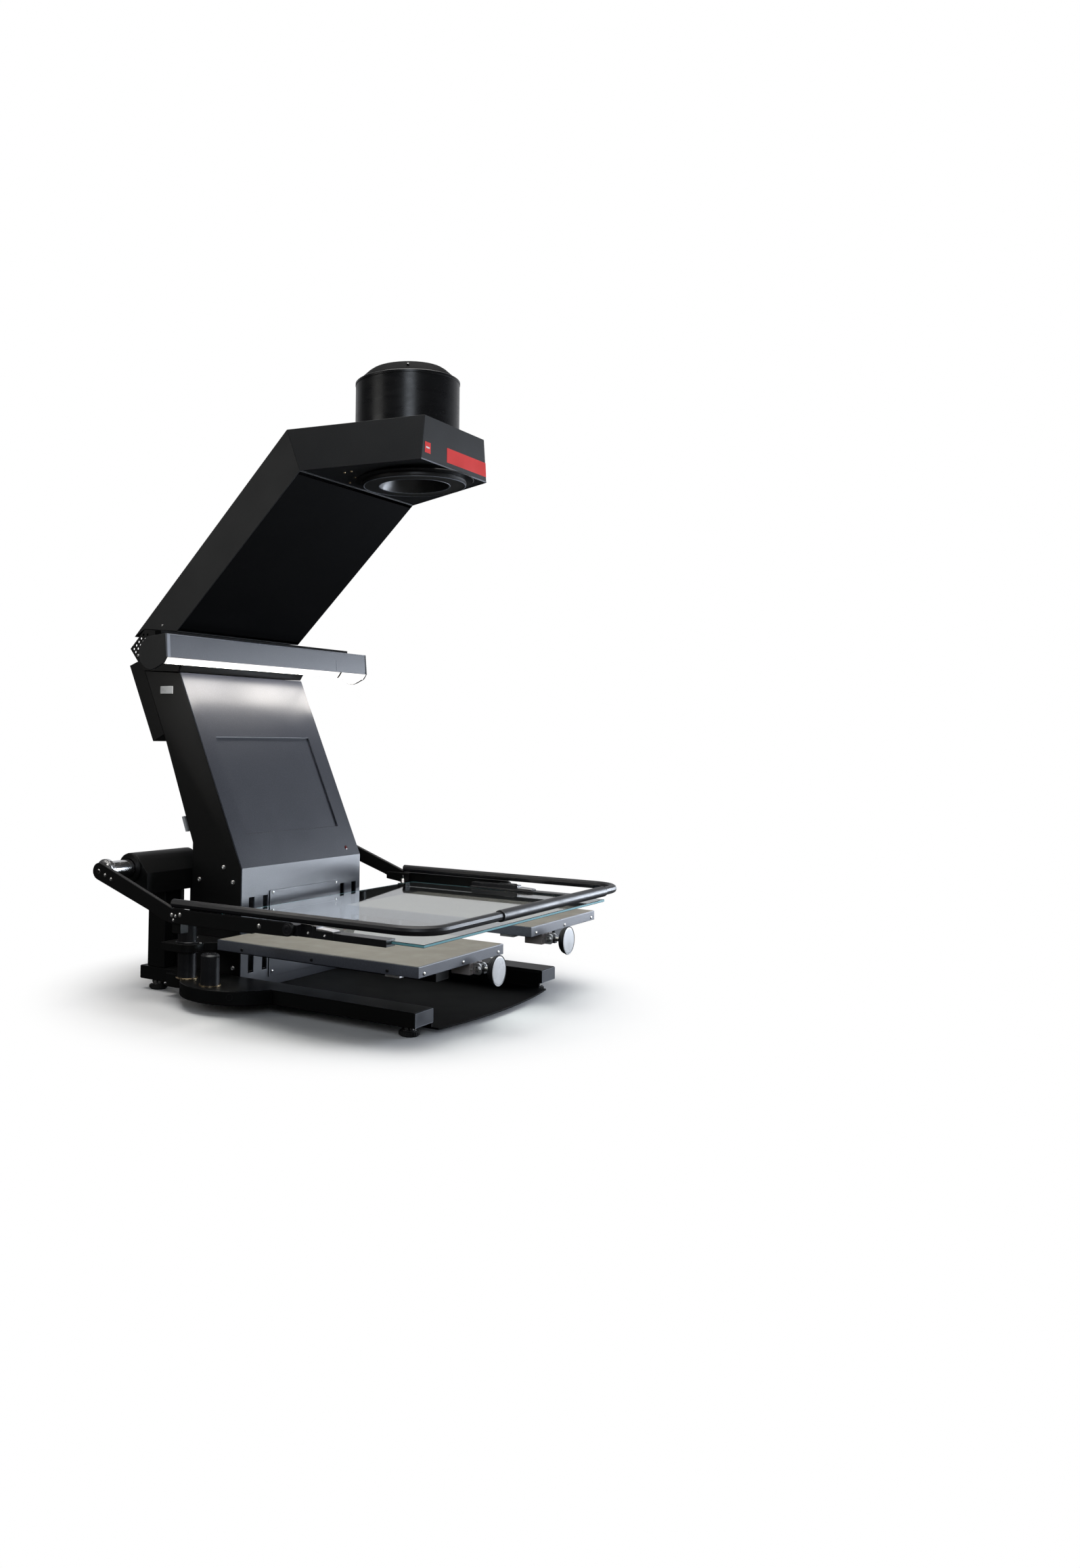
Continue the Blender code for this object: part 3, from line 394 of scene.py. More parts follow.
# %% Bare metal
def bare_metal(name, colour, dull_colour, roughness, stretch, line_depth):
    """Metal with tool lines. stretch squeezes the noise across the lines, per axis."""
    material = bpy.data.materials.new(name)
    material.use_nodes = True
    tree = material.node_tree
    tree.nodes.clear()

    place = tree.nodes.new("ShaderNodeTexCoord")
    place.label = "Place on the machine"
    along = tree.nodes.new("ShaderNodeMapping")
    along.label = "Direction of the tool"
    lines = tree.nodes.new("ShaderNodeTexNoise")
    lines.label = "Tool lines"
    shine = tree.nodes.new("ShaderNodeMapRange")
    shine.label = "Roughness of the lines"
    line_bump = tree.nodes.new("ShaderNodeBump")
    line_bump.label = "Relief of the lines"
    patches = tree.nodes.new("ShaderNodeTexNoise")
    patches.label = "Dull patches"
    patch_share = tree.nodes.new("ShaderNodeMapRange")
    patch_share.label = "How dull they get"
    tinted = tree.nodes.new("ShaderNodeMix")
    tinted.label = "Metal with its patches"
    surface = tree.nodes.new("ShaderNodeBsdfPrincipled")
    surface.label = "Bare metal"
    output = tree.nodes.new("ShaderNodeOutputMaterial")
    output.label = "Surface"

    line_frame = tree.nodes.new("NodeFrame")
    line_frame.label = "Tool lines"
    patch_frame = tree.nodes.new("NodeFrame")
    patch_frame.label = "Colour"
    for node in (along, lines, shine, line_bump):
        node.parent = line_frame
    for node in (patches, patch_share, tinted):
        node.parent = patch_frame
    layout = ((place, 0, 1), (along, 1, 2), (lines, 2, 2), (shine, 3, 2), (line_bump, 3, 3))
    layout += ((patches, 1, 0), (patch_share, 2, 0), (tinted, 3, 0), (surface, 4, 1), (output, 5, 1))
    for node, column, row in layout:
        node.location = (column * 240, -row * 240)

    along.inputs["Scale"].default_value = stretch
    lines.inputs["Scale"].default_value = 90.0
    lines.inputs["Detail"].default_value = 4.0
    shine.inputs["From Min"].default_value = 0.3
    shine.inputs["From Max"].default_value = 0.7
    shine.inputs["To Min"].default_value = max(0.02, roughness - 0.06)
    shine.inputs["To Max"].default_value = roughness + 0.06
    line_bump.inputs["Strength"].default_value = 0.25
    line_bump.inputs["Distance"].default_value = line_depth * MM
    patches.inputs["Scale"].default_value = 40.0
    patches.inputs["Detail"].default_value = 5.0
    patch_share.inputs["From Min"].default_value = 0.45
    patch_share.inputs["From Max"].default_value = 0.75
    tinted.data_type = "RGBA"
    tinted.inputs["A"].default_value = (*colour, 1.0)
    tinted.inputs["B"].default_value = (*dull_colour, 1.0)
    surface.inputs["Metallic"].default_value = 1.0

    tree.links.new(place.outputs["Object"], along.inputs["Vector"])
    tree.links.new(along.outputs["Vector"], lines.inputs["Vector"])
    tree.links.new(lines.outputs["Fac"], shine.inputs["Value"])
    tree.links.new(shine.outputs["Result"], surface.inputs["Roughness"])
    tree.links.new(lines.outputs["Fac"], line_bump.inputs["Height"])
    tree.links.new(line_bump.outputs["Normal"], surface.inputs["Normal"])
    tree.links.new(place.outputs["Object"], patches.inputs["Vector"])
    tree.links.new(patches.outputs["Fac"], patch_share.inputs["Value"])
    tree.links.new(patch_share.outputs["Result"], tinted.inputs["Factor"])
    tree.links.new(tinted.outputs["Result"], surface.inputs["Base Color"])
    tree.links.new(surface.outputs["BSDF"], output.inputs["Surface"])
    return material


milled = bare_metal("milled_aluminium", (0.80, 0.80, 0.82), (0.62, 0.61, 0.60), 0.40, (12.0, 1.0, 12.0), 0.05)
chrome = bare_metal("chrome_plate", (0.86, 0.86, 0.87), (0.78, 0.77, 0.75), 0.17, (1.0, 8.0, 8.0), 0.01)
zinc = bare_metal("zinc_screws", (0.83, 0.82, 0.80), (0.66, 0.64, 0.60), 0.27, (4.0, 4.0, 4.0), 0.03)
brass = bare_metal("brass_screws", (0.80, 0.62, 0.38), (0.60, 0.45, 0.28), 0.28, (4.0, 4.0, 4.0), 0.03)
print("metals:", milled.name, chrome.name, zinc.name, brass.name)

# %% [markdown]
# Rubber soles, the white faces of the knobs, the printed label and the covering of the book plates
# are all soft or plastic skins with an even, fine grain. One function makes them; the arguments say
# how coarse and how deep that grain is and whether short fibres give it a sheen.

# %% Grained skins
def grained_skin(name, colour, worn_colour, roughness, grain, depth, sheen=0.0):
    """Plastic, rubber, print or short fibre. grain is the noise scale per metre."""
    material = bpy.data.materials.new(name)
    material.use_nodes = True
    tree = material.node_tree
    tree.nodes.clear()

    place = tree.nodes.new("ShaderNodeTexCoord")
    place.label = "Place on the machine"
    wear = tree.nodes.new("ShaderNodeTexNoise")
    wear.label = "Where it is rubbed"
    wear_share = tree.nodes.new("ShaderNodeMapRange")
    wear_share.label = "How far it is rubbed"
    worn = tree.nodes.new("ShaderNodeMix")
    worn.label = "Skin with its wear"
    shine = tree.nodes.new("ShaderNodeMapRange")
    shine.label = "Rubbed skin is smoother"
    pores = tree.nodes.new("ShaderNodeTexNoise")
    pores.label = "Grain of the skin"
    pore_bump = tree.nodes.new("ShaderNodeBump")
    pore_bump.label = "Relief of the grain"
    surface = tree.nodes.new("ShaderNodeBsdfPrincipled")
    surface.label = "Skin"
    output = tree.nodes.new("ShaderNodeOutputMaterial")
    output.label = "Surface"

    wear_frame = tree.nodes.new("NodeFrame")
    wear_frame.label = "Wear"
    relief_frame = tree.nodes.new("NodeFrame")
    relief_frame.label = "Relief"
    for node in (wear, wear_share, worn, shine):
        node.parent = wear_frame
    for node in (pores, pore_bump):
        node.parent = relief_frame
    layout = ((place, 0, 1), (wear, 1, 0), (wear_share, 2, 0), (worn, 3, 0), (shine, 3, 1))
    layout += ((pores, 1, 3), (pore_bump, 2, 3), (surface, 4, 1), (output, 5, 1))
    for node, column, row in layout:
        node.location = (column * 240, -row * 240)

    wear.inputs["Scale"].default_value = 22.0
    wear.inputs["Detail"].default_value = 6.0
    wear_share.inputs["From Min"].default_value = 0.4
    wear_share.inputs["From Max"].default_value = 0.75
    worn.data_type = "RGBA"
    worn.inputs["A"].default_value = (*colour, 1.0)
    worn.inputs["B"].default_value = (*worn_colour, 1.0)
    shine.inputs["To Min"].default_value = roughness
    shine.inputs["To Max"].default_value = max(0.05, roughness - 0.12)
    pores.inputs["Scale"].default_value = grain
    pores.inputs["Detail"].default_value = 3.0
    pore_bump.inputs["Strength"].default_value = 0.5
    pore_bump.inputs["Distance"].default_value = depth * MM
    surface.inputs["Sheen Weight"].default_value = sheen
    surface.inputs["Sheen Roughness"].default_value = 0.45

    tree.links.new(place.outputs["Object"], wear.inputs["Vector"])
    tree.links.new(wear.outputs["Fac"], wear_share.inputs["Value"])
    tree.links.new(wear_share.outputs["Result"], worn.inputs["Factor"])
    tree.links.new(wear_share.outputs["Result"], shine.inputs["Value"])
    tree.links.new(worn.outputs["Result"], surface.inputs["Base Color"])
    tree.links.new(shine.outputs["Result"], surface.inputs["Roughness"])
    tree.links.new(place.outputs["Object"], pores.inputs["Vector"])
    tree.links.new(pores.outputs["Fac"], pore_bump.inputs["Height"])
    tree.links.new(pore_bump.outputs["Normal"], surface.inputs["Normal"])
    tree.links.new(surface.outputs["BSDF"], output.inputs["Surface"])
    return material


sole_rubber = grained_skin("sole_rubber", (0.010, 0.010, 0.010), (0.022, 0.021, 0.020), 0.75, 700.0, 0.15)
grip_plastic = grained_skin("grip_plastic", (0.009, 0.009, 0.010), (0.016, 0.016, 0.017), 0.45, 900.0, 0.08)
white_plastic = grained_skin("white_plastic", (0.86, 0.87, 0.88), (0.78, 0.78, 0.77), 0.32, 500.0, 0.02)
red_print = grained_skin("red_print", (0.78, 0.022, 0.018), (0.68, 0.024, 0.020), 0.42, 800.0, 0.02)
plate_cover = grained_skin(
    "plate_cover", (0.172, 0.143, 0.114), (0.182, 0.152, 0.122),
    roughness=0.46, grain=1100.0, depth=0.12, sheen=0.05,
)
sensor_red = grained_skin("sensor_red", (0.10, 0.006, 0.008), (0.07, 0.005, 0.006), 0.12, 300.0, 0.01)
# The pale matt cast finish is the block's own; its warm pink tint is a painted reflection of a brown table.
cast_aluminium_reflection_tint = grained_skin("cast_aluminium_reflection_tint", (0.40, 0.36, 0.345), (0.46, 0.41, 0.39), 0.34, 500.0, 0.04)
# Pale strips in this skin are painted highlights: thin lines of light along edges and seams.
edge_highlight_paint = grained_skin("painted_edge_highlight", (0.20, 0.21, 0.24), (0.26, 0.27, 0.30), 0.34, 700.0, 0.03)
end_paint = grained_skin("end_paint", (0.050, 0.054, 0.062), (0.062, 0.066, 0.074), 0.40, 900.0, 0.08)
lens_coating = grained_skin("lens_coating", (0.012, 0.010, 0.022), (0.016, 0.012, 0.030), 0.05, 120.0, 0.005)
pale_plastic = grained_skin("pale_plastic", (0.46, 0.48, 0.50), (0.36, 0.37, 0.38), 0.30, 400.0, 0.03)
# Near-black for the insides of holes, vents and sockets: painted shade.
hole_shade_paint = grained_skin("hole_shade_paint", (0.003, 0.003, 0.003), (0.004, 0.004, 0.004), 0.9, 500.0, 0.05)
print("skins:", sole_rubber.name, grip_plastic.name, white_plastic.name, red_print.name, plate_cover.name)

# %% [markdown]
# The lamp's cover is opal plastic with small lamps behind its flat underside, so the light falls
# down and back over the column. Clusters of lamps stand 250 mm apart, which gives soft lobes of
# light. The lip in front only passes on a little of it and looks evenly white.

# %% Opal cover of the lamp
LOBE_STEP, LOBE_PLACE = 0.250, 0.100
LIP_GLOW, LAMP_GLOW = 1.05, 12.0
BETWEEN_LOBES = 0.78
opal = bpy.data.materials.new("opal_cover")
opal.use_nodes = True
opal_tree = opal.node_tree
opal_tree.nodes.clear()
opal_place = opal_tree.nodes.new("ShaderNodeTexCoord")
opal_place.label = "Place on the machine"
opal_split = opal_tree.nodes.new("ShaderNodeSeparateXYZ")
opal_split.label = "Distance along the lamp"
opal_row = opal_tree.nodes.new("ShaderNodeMath")
opal_row.label = "Row of lamp clusters"
opal_lobe = opal_tree.nodes.new("ShaderNodeMath")
opal_lobe.label = "One lobe for each"
opal_strip = opal_tree.nodes.new("ShaderNodeMapRange")
opal_strip.label = "Glow of the underside"
opal_facing = opal_tree.nodes.new("ShaderNodeSeparateXYZ")
opal_facing.label = "Which way the cover faces"
opal_glow = opal_tree.nodes.new("ShaderNodeMapRange")
opal_glow.label = "Lip faint, underside bright"
opal_skin = opal_tree.nodes.new("ShaderNodeTexNoise")
opal_skin.label = "Frosted skin"
opal_bump = opal_tree.nodes.new("ShaderNodeBump")
opal_bump.label = "Relief of the frosting"
opal_surface = opal_tree.nodes.new("ShaderNodeBsdfPrincipled")
opal_surface.label = "Opal plastic"
opal_output = opal_tree.nodes.new("ShaderNodeOutputMaterial")
opal_output.label = "Surface"
glow_frame = opal_tree.nodes.new("NodeFrame")
glow_frame.label = "Glow"
frost_frame = opal_tree.nodes.new("NodeFrame")
frost_frame.label = "Frosting"
for node in (opal_split, opal_row, opal_lobe, opal_strip, opal_facing, opal_glow):
    node.parent = glow_frame
for node in (opal_skin, opal_bump):
    node.parent = frost_frame
opal_layout = ((opal_place, 0, 1), (opal_split, 1, 0), (opal_row, 2, 0), (opal_lobe, 3, 0))
opal_layout += ((opal_strip, 4, 0), (opal_facing, 1, 1), (opal_glow, 5, 1), (opal_skin, 1, 3))
opal_layout += ((opal_bump, 2, 3), (opal_surface, 6, 1), (opal_output, 7, 1))
for node, column, row in opal_layout:
    node.location = (column * 240, -row * 240)
opal_row.operation = "MULTIPLY_ADD"
opal_row.inputs[1].default_value = 2 * math.pi / LOBE_STEP
opal_row.inputs[2].default_value = -2 * math.pi * LOBE_PLACE / LOBE_STEP
opal_lobe.operation = "COSINE"
opal_strip.inputs["From Min"].default_value = -1.0
opal_strip.inputs["To Min"].default_value = BETWEEN_LOBES * LAMP_GLOW
opal_strip.inputs["To Max"].default_value = LAMP_GLOW
opal_glow.inputs["From Min"].default_value = -0.75
opal_glow.inputs["From Max"].default_value = -0.95
opal_glow.inputs["To Min"].default_value = LIP_GLOW
opal_skin.inputs["Scale"].default_value = 600.0
opal_bump.inputs["Strength"].default_value = 0.2
opal_bump.inputs["Distance"].default_value = 0.05 * MM
opal_surface.inputs["Base Color"].default_value = (0.80, 0.80, 0.78, 1.0)
opal_surface.inputs["Roughness"].default_value = 0.38
opal_surface.inputs["Emission Color"].default_value = (1.0, 0.95, 0.89, 1.0)
opal_tree.links.new(opal_place.outputs["Object"], opal_split.inputs["Vector"])
opal_tree.links.new(opal_split.outputs["X"], opal_row.inputs[0])
opal_tree.links.new(opal_row.outputs["Value"], opal_lobe.inputs[0])
opal_tree.links.new(opal_lobe.outputs["Value"], opal_strip.inputs["Value"])
opal_tree.links.new(opal_place.outputs["Normal"], opal_facing.inputs["Vector"])
opal_tree.links.new(opal_facing.outputs["Z"], opal_glow.inputs["Value"])
opal_tree.links.new(opal_strip.outputs["Result"], opal_glow.inputs["To Max"])
opal_tree.links.new(opal_glow.outputs["Result"], opal_surface.inputs["Emission Strength"])
opal_tree.links.new(opal_place.outputs["Object"], opal_skin.inputs["Vector"])
opal_tree.links.new(opal_skin.outputs["Fac"], opal_bump.inputs["Height"])
opal_tree.links.new(opal_bump.outputs["Normal"], opal_surface.inputs["Normal"])
opal_tree.links.new(opal_surface.outputs["BSDF"], opal_output.inputs["Surface"])
print("opal cover: lip", LIP_GLOW, "underside up to", LAMP_GLOW)

# %% [markdown]
# The glass plate is clear from above and teal at its edges, where one looks through its whole width and sees
# the iron in it. The top and bottom faces are clear glass; the narrow faces, which are the ones whose normal
# lies flat, get the teal and a faint painted glow for the light carried inside the pane. Lamps shine through
# clear glass almost unchanged, so for shadow rays the clear part is transparent.

# %% Plate glass
glass = bpy.data.materials.new("plate_glass")
glass.use_nodes = True
glass_tree = glass.node_tree
glass_tree.nodes.clear()
glass_place = glass_tree.nodes.new("ShaderNodeTexCoord")
glass_place.label = "Place and normal"
glass_split = glass_tree.nodes.new("ShaderNodeSeparateXYZ")
glass_split.label = "How far the face looks up"
glass_upward = glass_tree.nodes.new("ShaderNodeMath")
glass_upward.label = "Up or down alike"
glass_edge = glass_tree.nodes.new("ShaderNodeMapRange")
glass_edge.label = "1 on the narrow faces"
glass_smears = glass_tree.nodes.new("ShaderNodeTexNoise")
glass_smears.label = "Smears of cleaning"
glass_shine = glass_tree.nodes.new("ShaderNodeMapRange")
glass_shine.label = "Almost clean"
clear_face = glass_tree.nodes.new("ShaderNodeBsdfPrincipled")
clear_face.label = "Clear face"
teal_edge_glow = glass_tree.nodes.new("ShaderNodeBsdfPrincipled")
teal_edge_glow.label = "Teal edge"
ray_kind = glass_tree.nodes.new("ShaderNodeLightPath")
ray_kind.label = "Is it a ray to a lamp?"
let_through = glass_tree.nodes.new("ShaderNodeBsdfTransparent")
let_through.label = "Light passes"
lit_face = glass_tree.nodes.new("ShaderNodeMixShader")
lit_face.label = "Clear face, lamps shine through"
whole_pane = glass_tree.nodes.new("ShaderNodeMixShader")
whole_pane.label = "Faces and edges"
glass_output = glass_tree.nodes.new("ShaderNodeOutputMaterial")
glass_output.label = "Surface"
edge_frame = glass_tree.nodes.new("NodeFrame")
edge_frame.label = "Where the edges are"
clean_frame = glass_tree.nodes.new("NodeFrame")
clean_frame.label = "Cleanness"
for node in (glass_split, glass_upward, glass_edge):
    node.parent = edge_frame
for node in (glass_smears, glass_shine):
    node.parent = clean_frame
glass_layout = ((glass_place, 0, 1), (glass_split, 1, 0), (glass_upward, 2, 0), (glass_edge, 3, 0))
glass_layout += ((glass_smears, 1, 2), (glass_shine, 2, 2), (clear_face, 3, 2), (ray_kind, 3, 1))
glass_layout += ((let_through, 3, 4), (lit_face, 4, 2), (teal_edge_glow, 4, 4), (whole_pane, 5, 1))
glass_layout += ((glass_output, 6, 1),)
for node, column, row in glass_layout:
    node.location = (column * 240, -row * 240)
glass_upward.operation = "ABSOLUTE"
glass_edge.inputs["From Min"].default_value = 0.35
glass_edge.inputs["From Max"].default_value = 0.6
glass_edge.inputs["To Min"].default_value = 1.0
glass_edge.inputs["To Max"].default_value = 0.0
glass_smears.inputs["Scale"].default_value = 9.0
glass_smears.inputs["Detail"].default_value = 7.0
glass_smears.inputs["Distortion"].default_value = 1.5
glass_shine.inputs["From Min"].default_value = 0.55
glass_shine.inputs["From Max"].default_value = 0.85
glass_shine.inputs["To Max"].default_value = 0.05
clear_face.inputs["Base Color"].default_value = (0.93, 0.985, 0.975, 1.0)
clear_face.inputs["IOR"].default_value = 1.52
clear_face.inputs["Transmission Weight"].default_value = 1.0
teal_edge_glow.inputs["Base Color"].default_value = (0.13, 0.33, 0.38, 1.0)
teal_edge_glow.inputs["Roughness"].default_value = 0.22
# The faint teal emission is a painted glow of light carried inside the pane.
teal_edge_glow.inputs["Emission Color"].default_value = (0.25, 0.62, 0.68, 1.0)
teal_edge_glow.inputs["Emission Strength"].default_value = 0.10
let_through.inputs["Color"].default_value = (0.90, 0.95, 0.945, 1.0)
glass_tree.links.new(glass_place.outputs["Normal"], glass_split.inputs["Vector"])
glass_tree.links.new(glass_split.outputs["Z"], glass_upward.inputs[0])
glass_tree.links.new(glass_upward.outputs["Value"], glass_edge.inputs["Value"])
glass_tree.links.new(glass_place.outputs["Object"], glass_smears.inputs["Vector"])
glass_tree.links.new(glass_smears.outputs["Fac"], glass_shine.inputs["Value"])
glass_tree.links.new(glass_shine.outputs["Result"], clear_face.inputs["Roughness"])
glass_tree.links.new(ray_kind.outputs["Is Shadow Ray"], lit_face.inputs["Fac"])
glass_tree.links.new(clear_face.outputs["BSDF"], lit_face.inputs[1])
glass_tree.links.new(let_through.outputs["BSDF"], lit_face.inputs[2])
glass_tree.links.new(glass_edge.outputs["Result"], whole_pane.inputs["Fac"])
glass_tree.links.new(lit_face.outputs["Shader"], whole_pane.inputs[1])
glass_tree.links.new(teal_edge_glow.outputs["BSDF"], whole_pane.inputs[2])
glass_tree.links.new(whole_pane.outputs["Shader"], glass_output.inputs["Surface"])
print("plate glass: clear faces, teal edges")

# %% [markdown]
# ## Finishes on the frame
# Each piece of the frame takes the finish of its real counterpart. Sheet parts also get a small
# rounded edge: folded and cut steel never ends in a perfectly sharp line.

# %% Give every frame piece its finish
finishes = {
    "column_front": grey_paint, "lower_cover": grey_paint, "lamp_housing": grey_paint,
    "floor_plate": shade_black_paint, "display_panel": grey_paint, "column_shell": black_paint,
    "rear_box": black_paint, "neck_shell": black_paint, "arm_shell": head_paint,
    "arm_cover": shade_black_paint, "head_shell": head_paint, "head_floor": head_paint,
    "lens_ring": ring_black, "camera_body": drum_gloss, "camera_drum": drum_gloss,
    "drum_cap": shade_black_paint, "rear_latch": pale_plastic, "side_socket": pale_plastic,
    "handle_tube": tube_lacquer, "grip_sleeve": tube_lacquer, "lamp_diffuser": opal,
    "glass_plate": glass,
}
paired = {
    "base_beam": black_paint, "rear_post": black_paint, "side_pod": black_paint,
    "guide_post": anodised_black, "lift_damper": anodised_black, "hinge_plate": black_paint,
    "lamp_cap": head_paint, "drive_housing": black_paint, "pivot_shaft": chrome,
    "swing_arm": black_paint, "side_rail": black_paint, "glass_clip": anodised_black,
    "lift_bracket": black_paint, "slide_rail": milled, "book_plate": plate_lightened_paint,
    "clamp_block": cast_aluminium_reflection_tint, "foot_front": sole_rubber, "foot_rear": sole_rubber,
    "clamp_knob": white_plastic,
}
for stem, finish in paired.items():
    finishes.update({f"{stem}_{side}": finish for side in SIDES})
for name, finish in finishes.items():
    node = nodes[name]
    node.data.materials.clear()
    node.data.materials.append(finish)
unfinished = sorted(set(nodes) - set(finishes))
print("finished", len(finishes), "frame pieces; left over:", unfinished)

# %% [markdown]
# ## Smooth round parts and flat sheets
# Turned parts come from the frame as narrow flat facets. A small node group welds the facets, drops
# their flat normals and shades them smooth, and keeps every steeper fold sharp. The sheet parts use
# the same group with a smaller angle, after their edges are rounded, so that their faces stay even.

# %% Node group that smooths a piece
ROUND_FOLD, SHEET_FOLD = 31, 19
WELD_REACH = 0.02 * MM
round_group = bpy.data.node_groups.new("smooth_round", "GeometryNodeTree")
round_group.interface.new_socket("Geometry", in_out="INPUT", socket_type="NodeSocketGeometry")
angle_socket = round_group.interface.new_socket(
    "Angle", in_out="INPUT", socket_type="NodeSocketFloat"
)
round_group.interface.new_socket("Geometry", in_out="OUTPUT", socket_type="NodeSocketGeometry")
facets = round_group.nodes.new("NodeGroupInput")
facets.label = "Facets"
welded = round_group.nodes.new("GeometryNodeMergeByDistance")
welded.label = "Weld the facets"
freed = round_group.nodes.new("GeometryNodeRemoveAttribute")
freed.label = "Drop the flat normals"
smoothed = round_group.nodes.new("GeometryNodeSetShadeSmooth")
smoothed.label = "Smooth faces"
fold_angle = round_group.nodes.new("GeometryNodeInputMeshEdgeAngle")
fold_angle.label = "Angle at each edge"
gentle = round_group.nodes.new("FunctionNodeCompare")
gentle.label = "Gentle edges only"
edged = round_group.nodes.new("GeometryNodeSetShadeSmooth")
edged.label = "Keep sharp edges"
rounded = round_group.nodes.new("NodeGroupOutput")
rounded.label = "Round part"
round_layout = ((facets, 0, 0), (welded, 1, 0), (freed, 2, 0), (smoothed, 3, 0))
round_layout += ((edged, 4, 0), (rounded, 5, 0), (fold_angle, 2, 1), (gentle, 3, 1))
for node, column, row in round_layout:
    node.location = (column * 220, -row * 220)
welded.inputs["Distance"].default_value = WELD_REACH
freed.inputs["Name"].default_value = "custom_normal"
gentle.data_type = "FLOAT"
gentle.operation = "LESS_THAN"
edged.domain = "EDGE"
round_group.links.new(facets.outputs["Geometry"], welded.inputs["Geometry"])
round_group.links.new(welded.outputs["Geometry"], freed.inputs["Geometry"])
round_group.links.new(freed.outputs["Geometry"], smoothed.inputs["Geometry"])
round_group.links.new(smoothed.outputs["Geometry"], edged.inputs["Geometry"])
round_group.links.new(facets.outputs["Angle"], gentle.inputs["B"])
round_group.links.new(fold_angle.outputs["Unsigned Angle"], gentle.inputs["A"])
round_group.links.new(gentle.outputs["Result"], edged.inputs["Shade Smooth"])
round_group.links.new(edged.outputs["Geometry"], rounded.inputs["Geometry"])


def smooth_faces(piece, degrees):
    """Shades the piece smooth across every fold of less than so many degrees."""
    smoothing = piece.modifiers.new("smooth faces", "NODES")
    smoothing.node_group = round_group
    smoothing[angle_socket.identifier] = math.radians(degrees)


ROUND = ["camera_drum", "drum_cap", "lens_ring", "camera_body", "handle_tube", "grip_sleeve"]
PAIRED_ROUND = ("guide_post", "lift_damper", "pivot_shaft", "side_pod", "lamp_cap", "foot_front", "foot_rear")
for stem in PAIRED_ROUND:
    ROUND += [f"{stem}_{side}" for side in SIDES]
for name in ROUND:
    smooth_faces(nodes[name], ROUND_FOLD)
print("smooth shading on", len(ROUND), "round pieces")

# %% [markdown]
# ## Softened edges of the sheet parts
# Cut and folded steel never ends in a perfectly sharp line: each edge has a radius of about half a
# millimetre that catches light. The frame's meshes come as loose triangles, so their corners are
# welded first; then a bevel can run along the true edges only.

# %% Round the edges of frame pieces
EDGE_WIDTHS = {
    "column_front": 0.7, "lower_cover": 0.5, "column_shell": 0.7, "rear_box": 0.9, "neck_shell": 0.9,
    "arm_shell": 0.8, "head_shell": 0.9, "lamp_housing": 0.5, "floor_plate": 0.5,
    "book_plate_left": 0.9, "book_plate_right": 0.9, "lift_bracket_left": 1.0, "lift_bracket_right": 1.0,
    "drive_housing_left": 1.2, "drive_housing_right": 1.2, "clamp_block_left": 0.6, "clamp_block_right": 0.6,
    "slide_rail_left": 0.5, "slide_rail_right": 0.5, "glass_clip_left": 0.6, "glass_clip_right": 0.6,
}
for name, width in EDGE_WIDTHS.items():
    weld = nodes[name].modifiers.new("weld corners", "WELD")
    weld.merge_threshold = WELD_REACH
    round_edges(nodes[name], width)
    smooth_faces(nodes[name], SHEET_FOLD)
print("rounded edges on", len(EDGE_WIDTHS), "sheet pieces")

# %% [markdown]
# ## Screws
# Nearly every fastener here is a button-head cap screw with a hexagon socket, or a small pan head.
# A set of equal screws on one body is made as one piece. Each head is turned from a profile that
# drops into the socket, so the dark hexagon is really hollow.

# %% Screw sets
def screw_set(name, places, direction, radius, material, body):
    """Button heads that stand on the given places and look along a direction."""
    shape = bmesh.new()
    for place in places:
        profile = [(0, -0.6), (radius, -0.6), (radius, 0.16 * radius), (0.86 * radius, 0.42 * radius)]
        profile += [(0.60 * radius, 0.55 * radius), (0.42 * radius, 0.55 * radius, "hex")]
        profile += [(0.40 * radius, 0.10 * radius, "hex"), (0, 0.06 * radius)]
        lathe(shape, profile, place, direction)
    return add_piece(name, shape, material, body)


def cup_set(name, places, direction, radius, material, body):
    """Shallow raised rims round bores, with a dark floor that is painted shade."""
    shape = bmesh.new()
    for place in places:
        profile = [(radius + 0.7, -0.4), (radius + 0.7, 0.12), (radius, 0.16), (radius - 0.5, -0.2)]
        lathe(shape, profile + [(radius - 0.6, 0.02), (0, 0.02)], place, direction)
    return add_piece(name, shape, material, body)


print("screw_set and cup_set ready")

# %% [markdown]
# ## Column
# Four screws hold each side of the column to the folded front sheet, and two the service cover. In
# the slots the plates' guide rods show as bright vertical lines with dark spindles between them. A
# round dark-red window in the leaning panel hides the sensor that watches the glass.

# %% Column fasteners and service cover
COVER_Y = -1.8
SIDE_SCREWS = ((45.0, 245.0), (106.0, 217.6), (21.0, 218.0), (18.0, 56.0))
for name, side in SIDES.items():
    places = [(side * 200.0, y, z) for y, z in SIDE_SCREWS]
    screw_set(f"column_screws_{name}", places, (side, 0, 0), 5.0, zinc, "base")
COVER_SCREWS = ((-105.0, 193.0), (109.0, 193.0), (-105.0, 40.0), (109.0, 40.0), (109.0, 144.0))
cover_places = [(x, COVER_Y, z) for x, z in COVER_SCREWS]
screw_set("cover_screws", cover_places, (0, -1, 0), 2.7, zinc, "base")
# Two holes in the cover, whose dark bores are painted shade.
cover_hole_shade = [(88.0, COVER_Y, 165.5), (-80.0, COVER_Y, 165.5)]
cup_set("cover_hole_shade", cover_hole_shade, (0, -1, 0), 2.8, hole_shade_paint, "base")
print("column screws:", 2 * len(SIDE_SCREWS), "cover screws:", len(COVER_SCREWS))

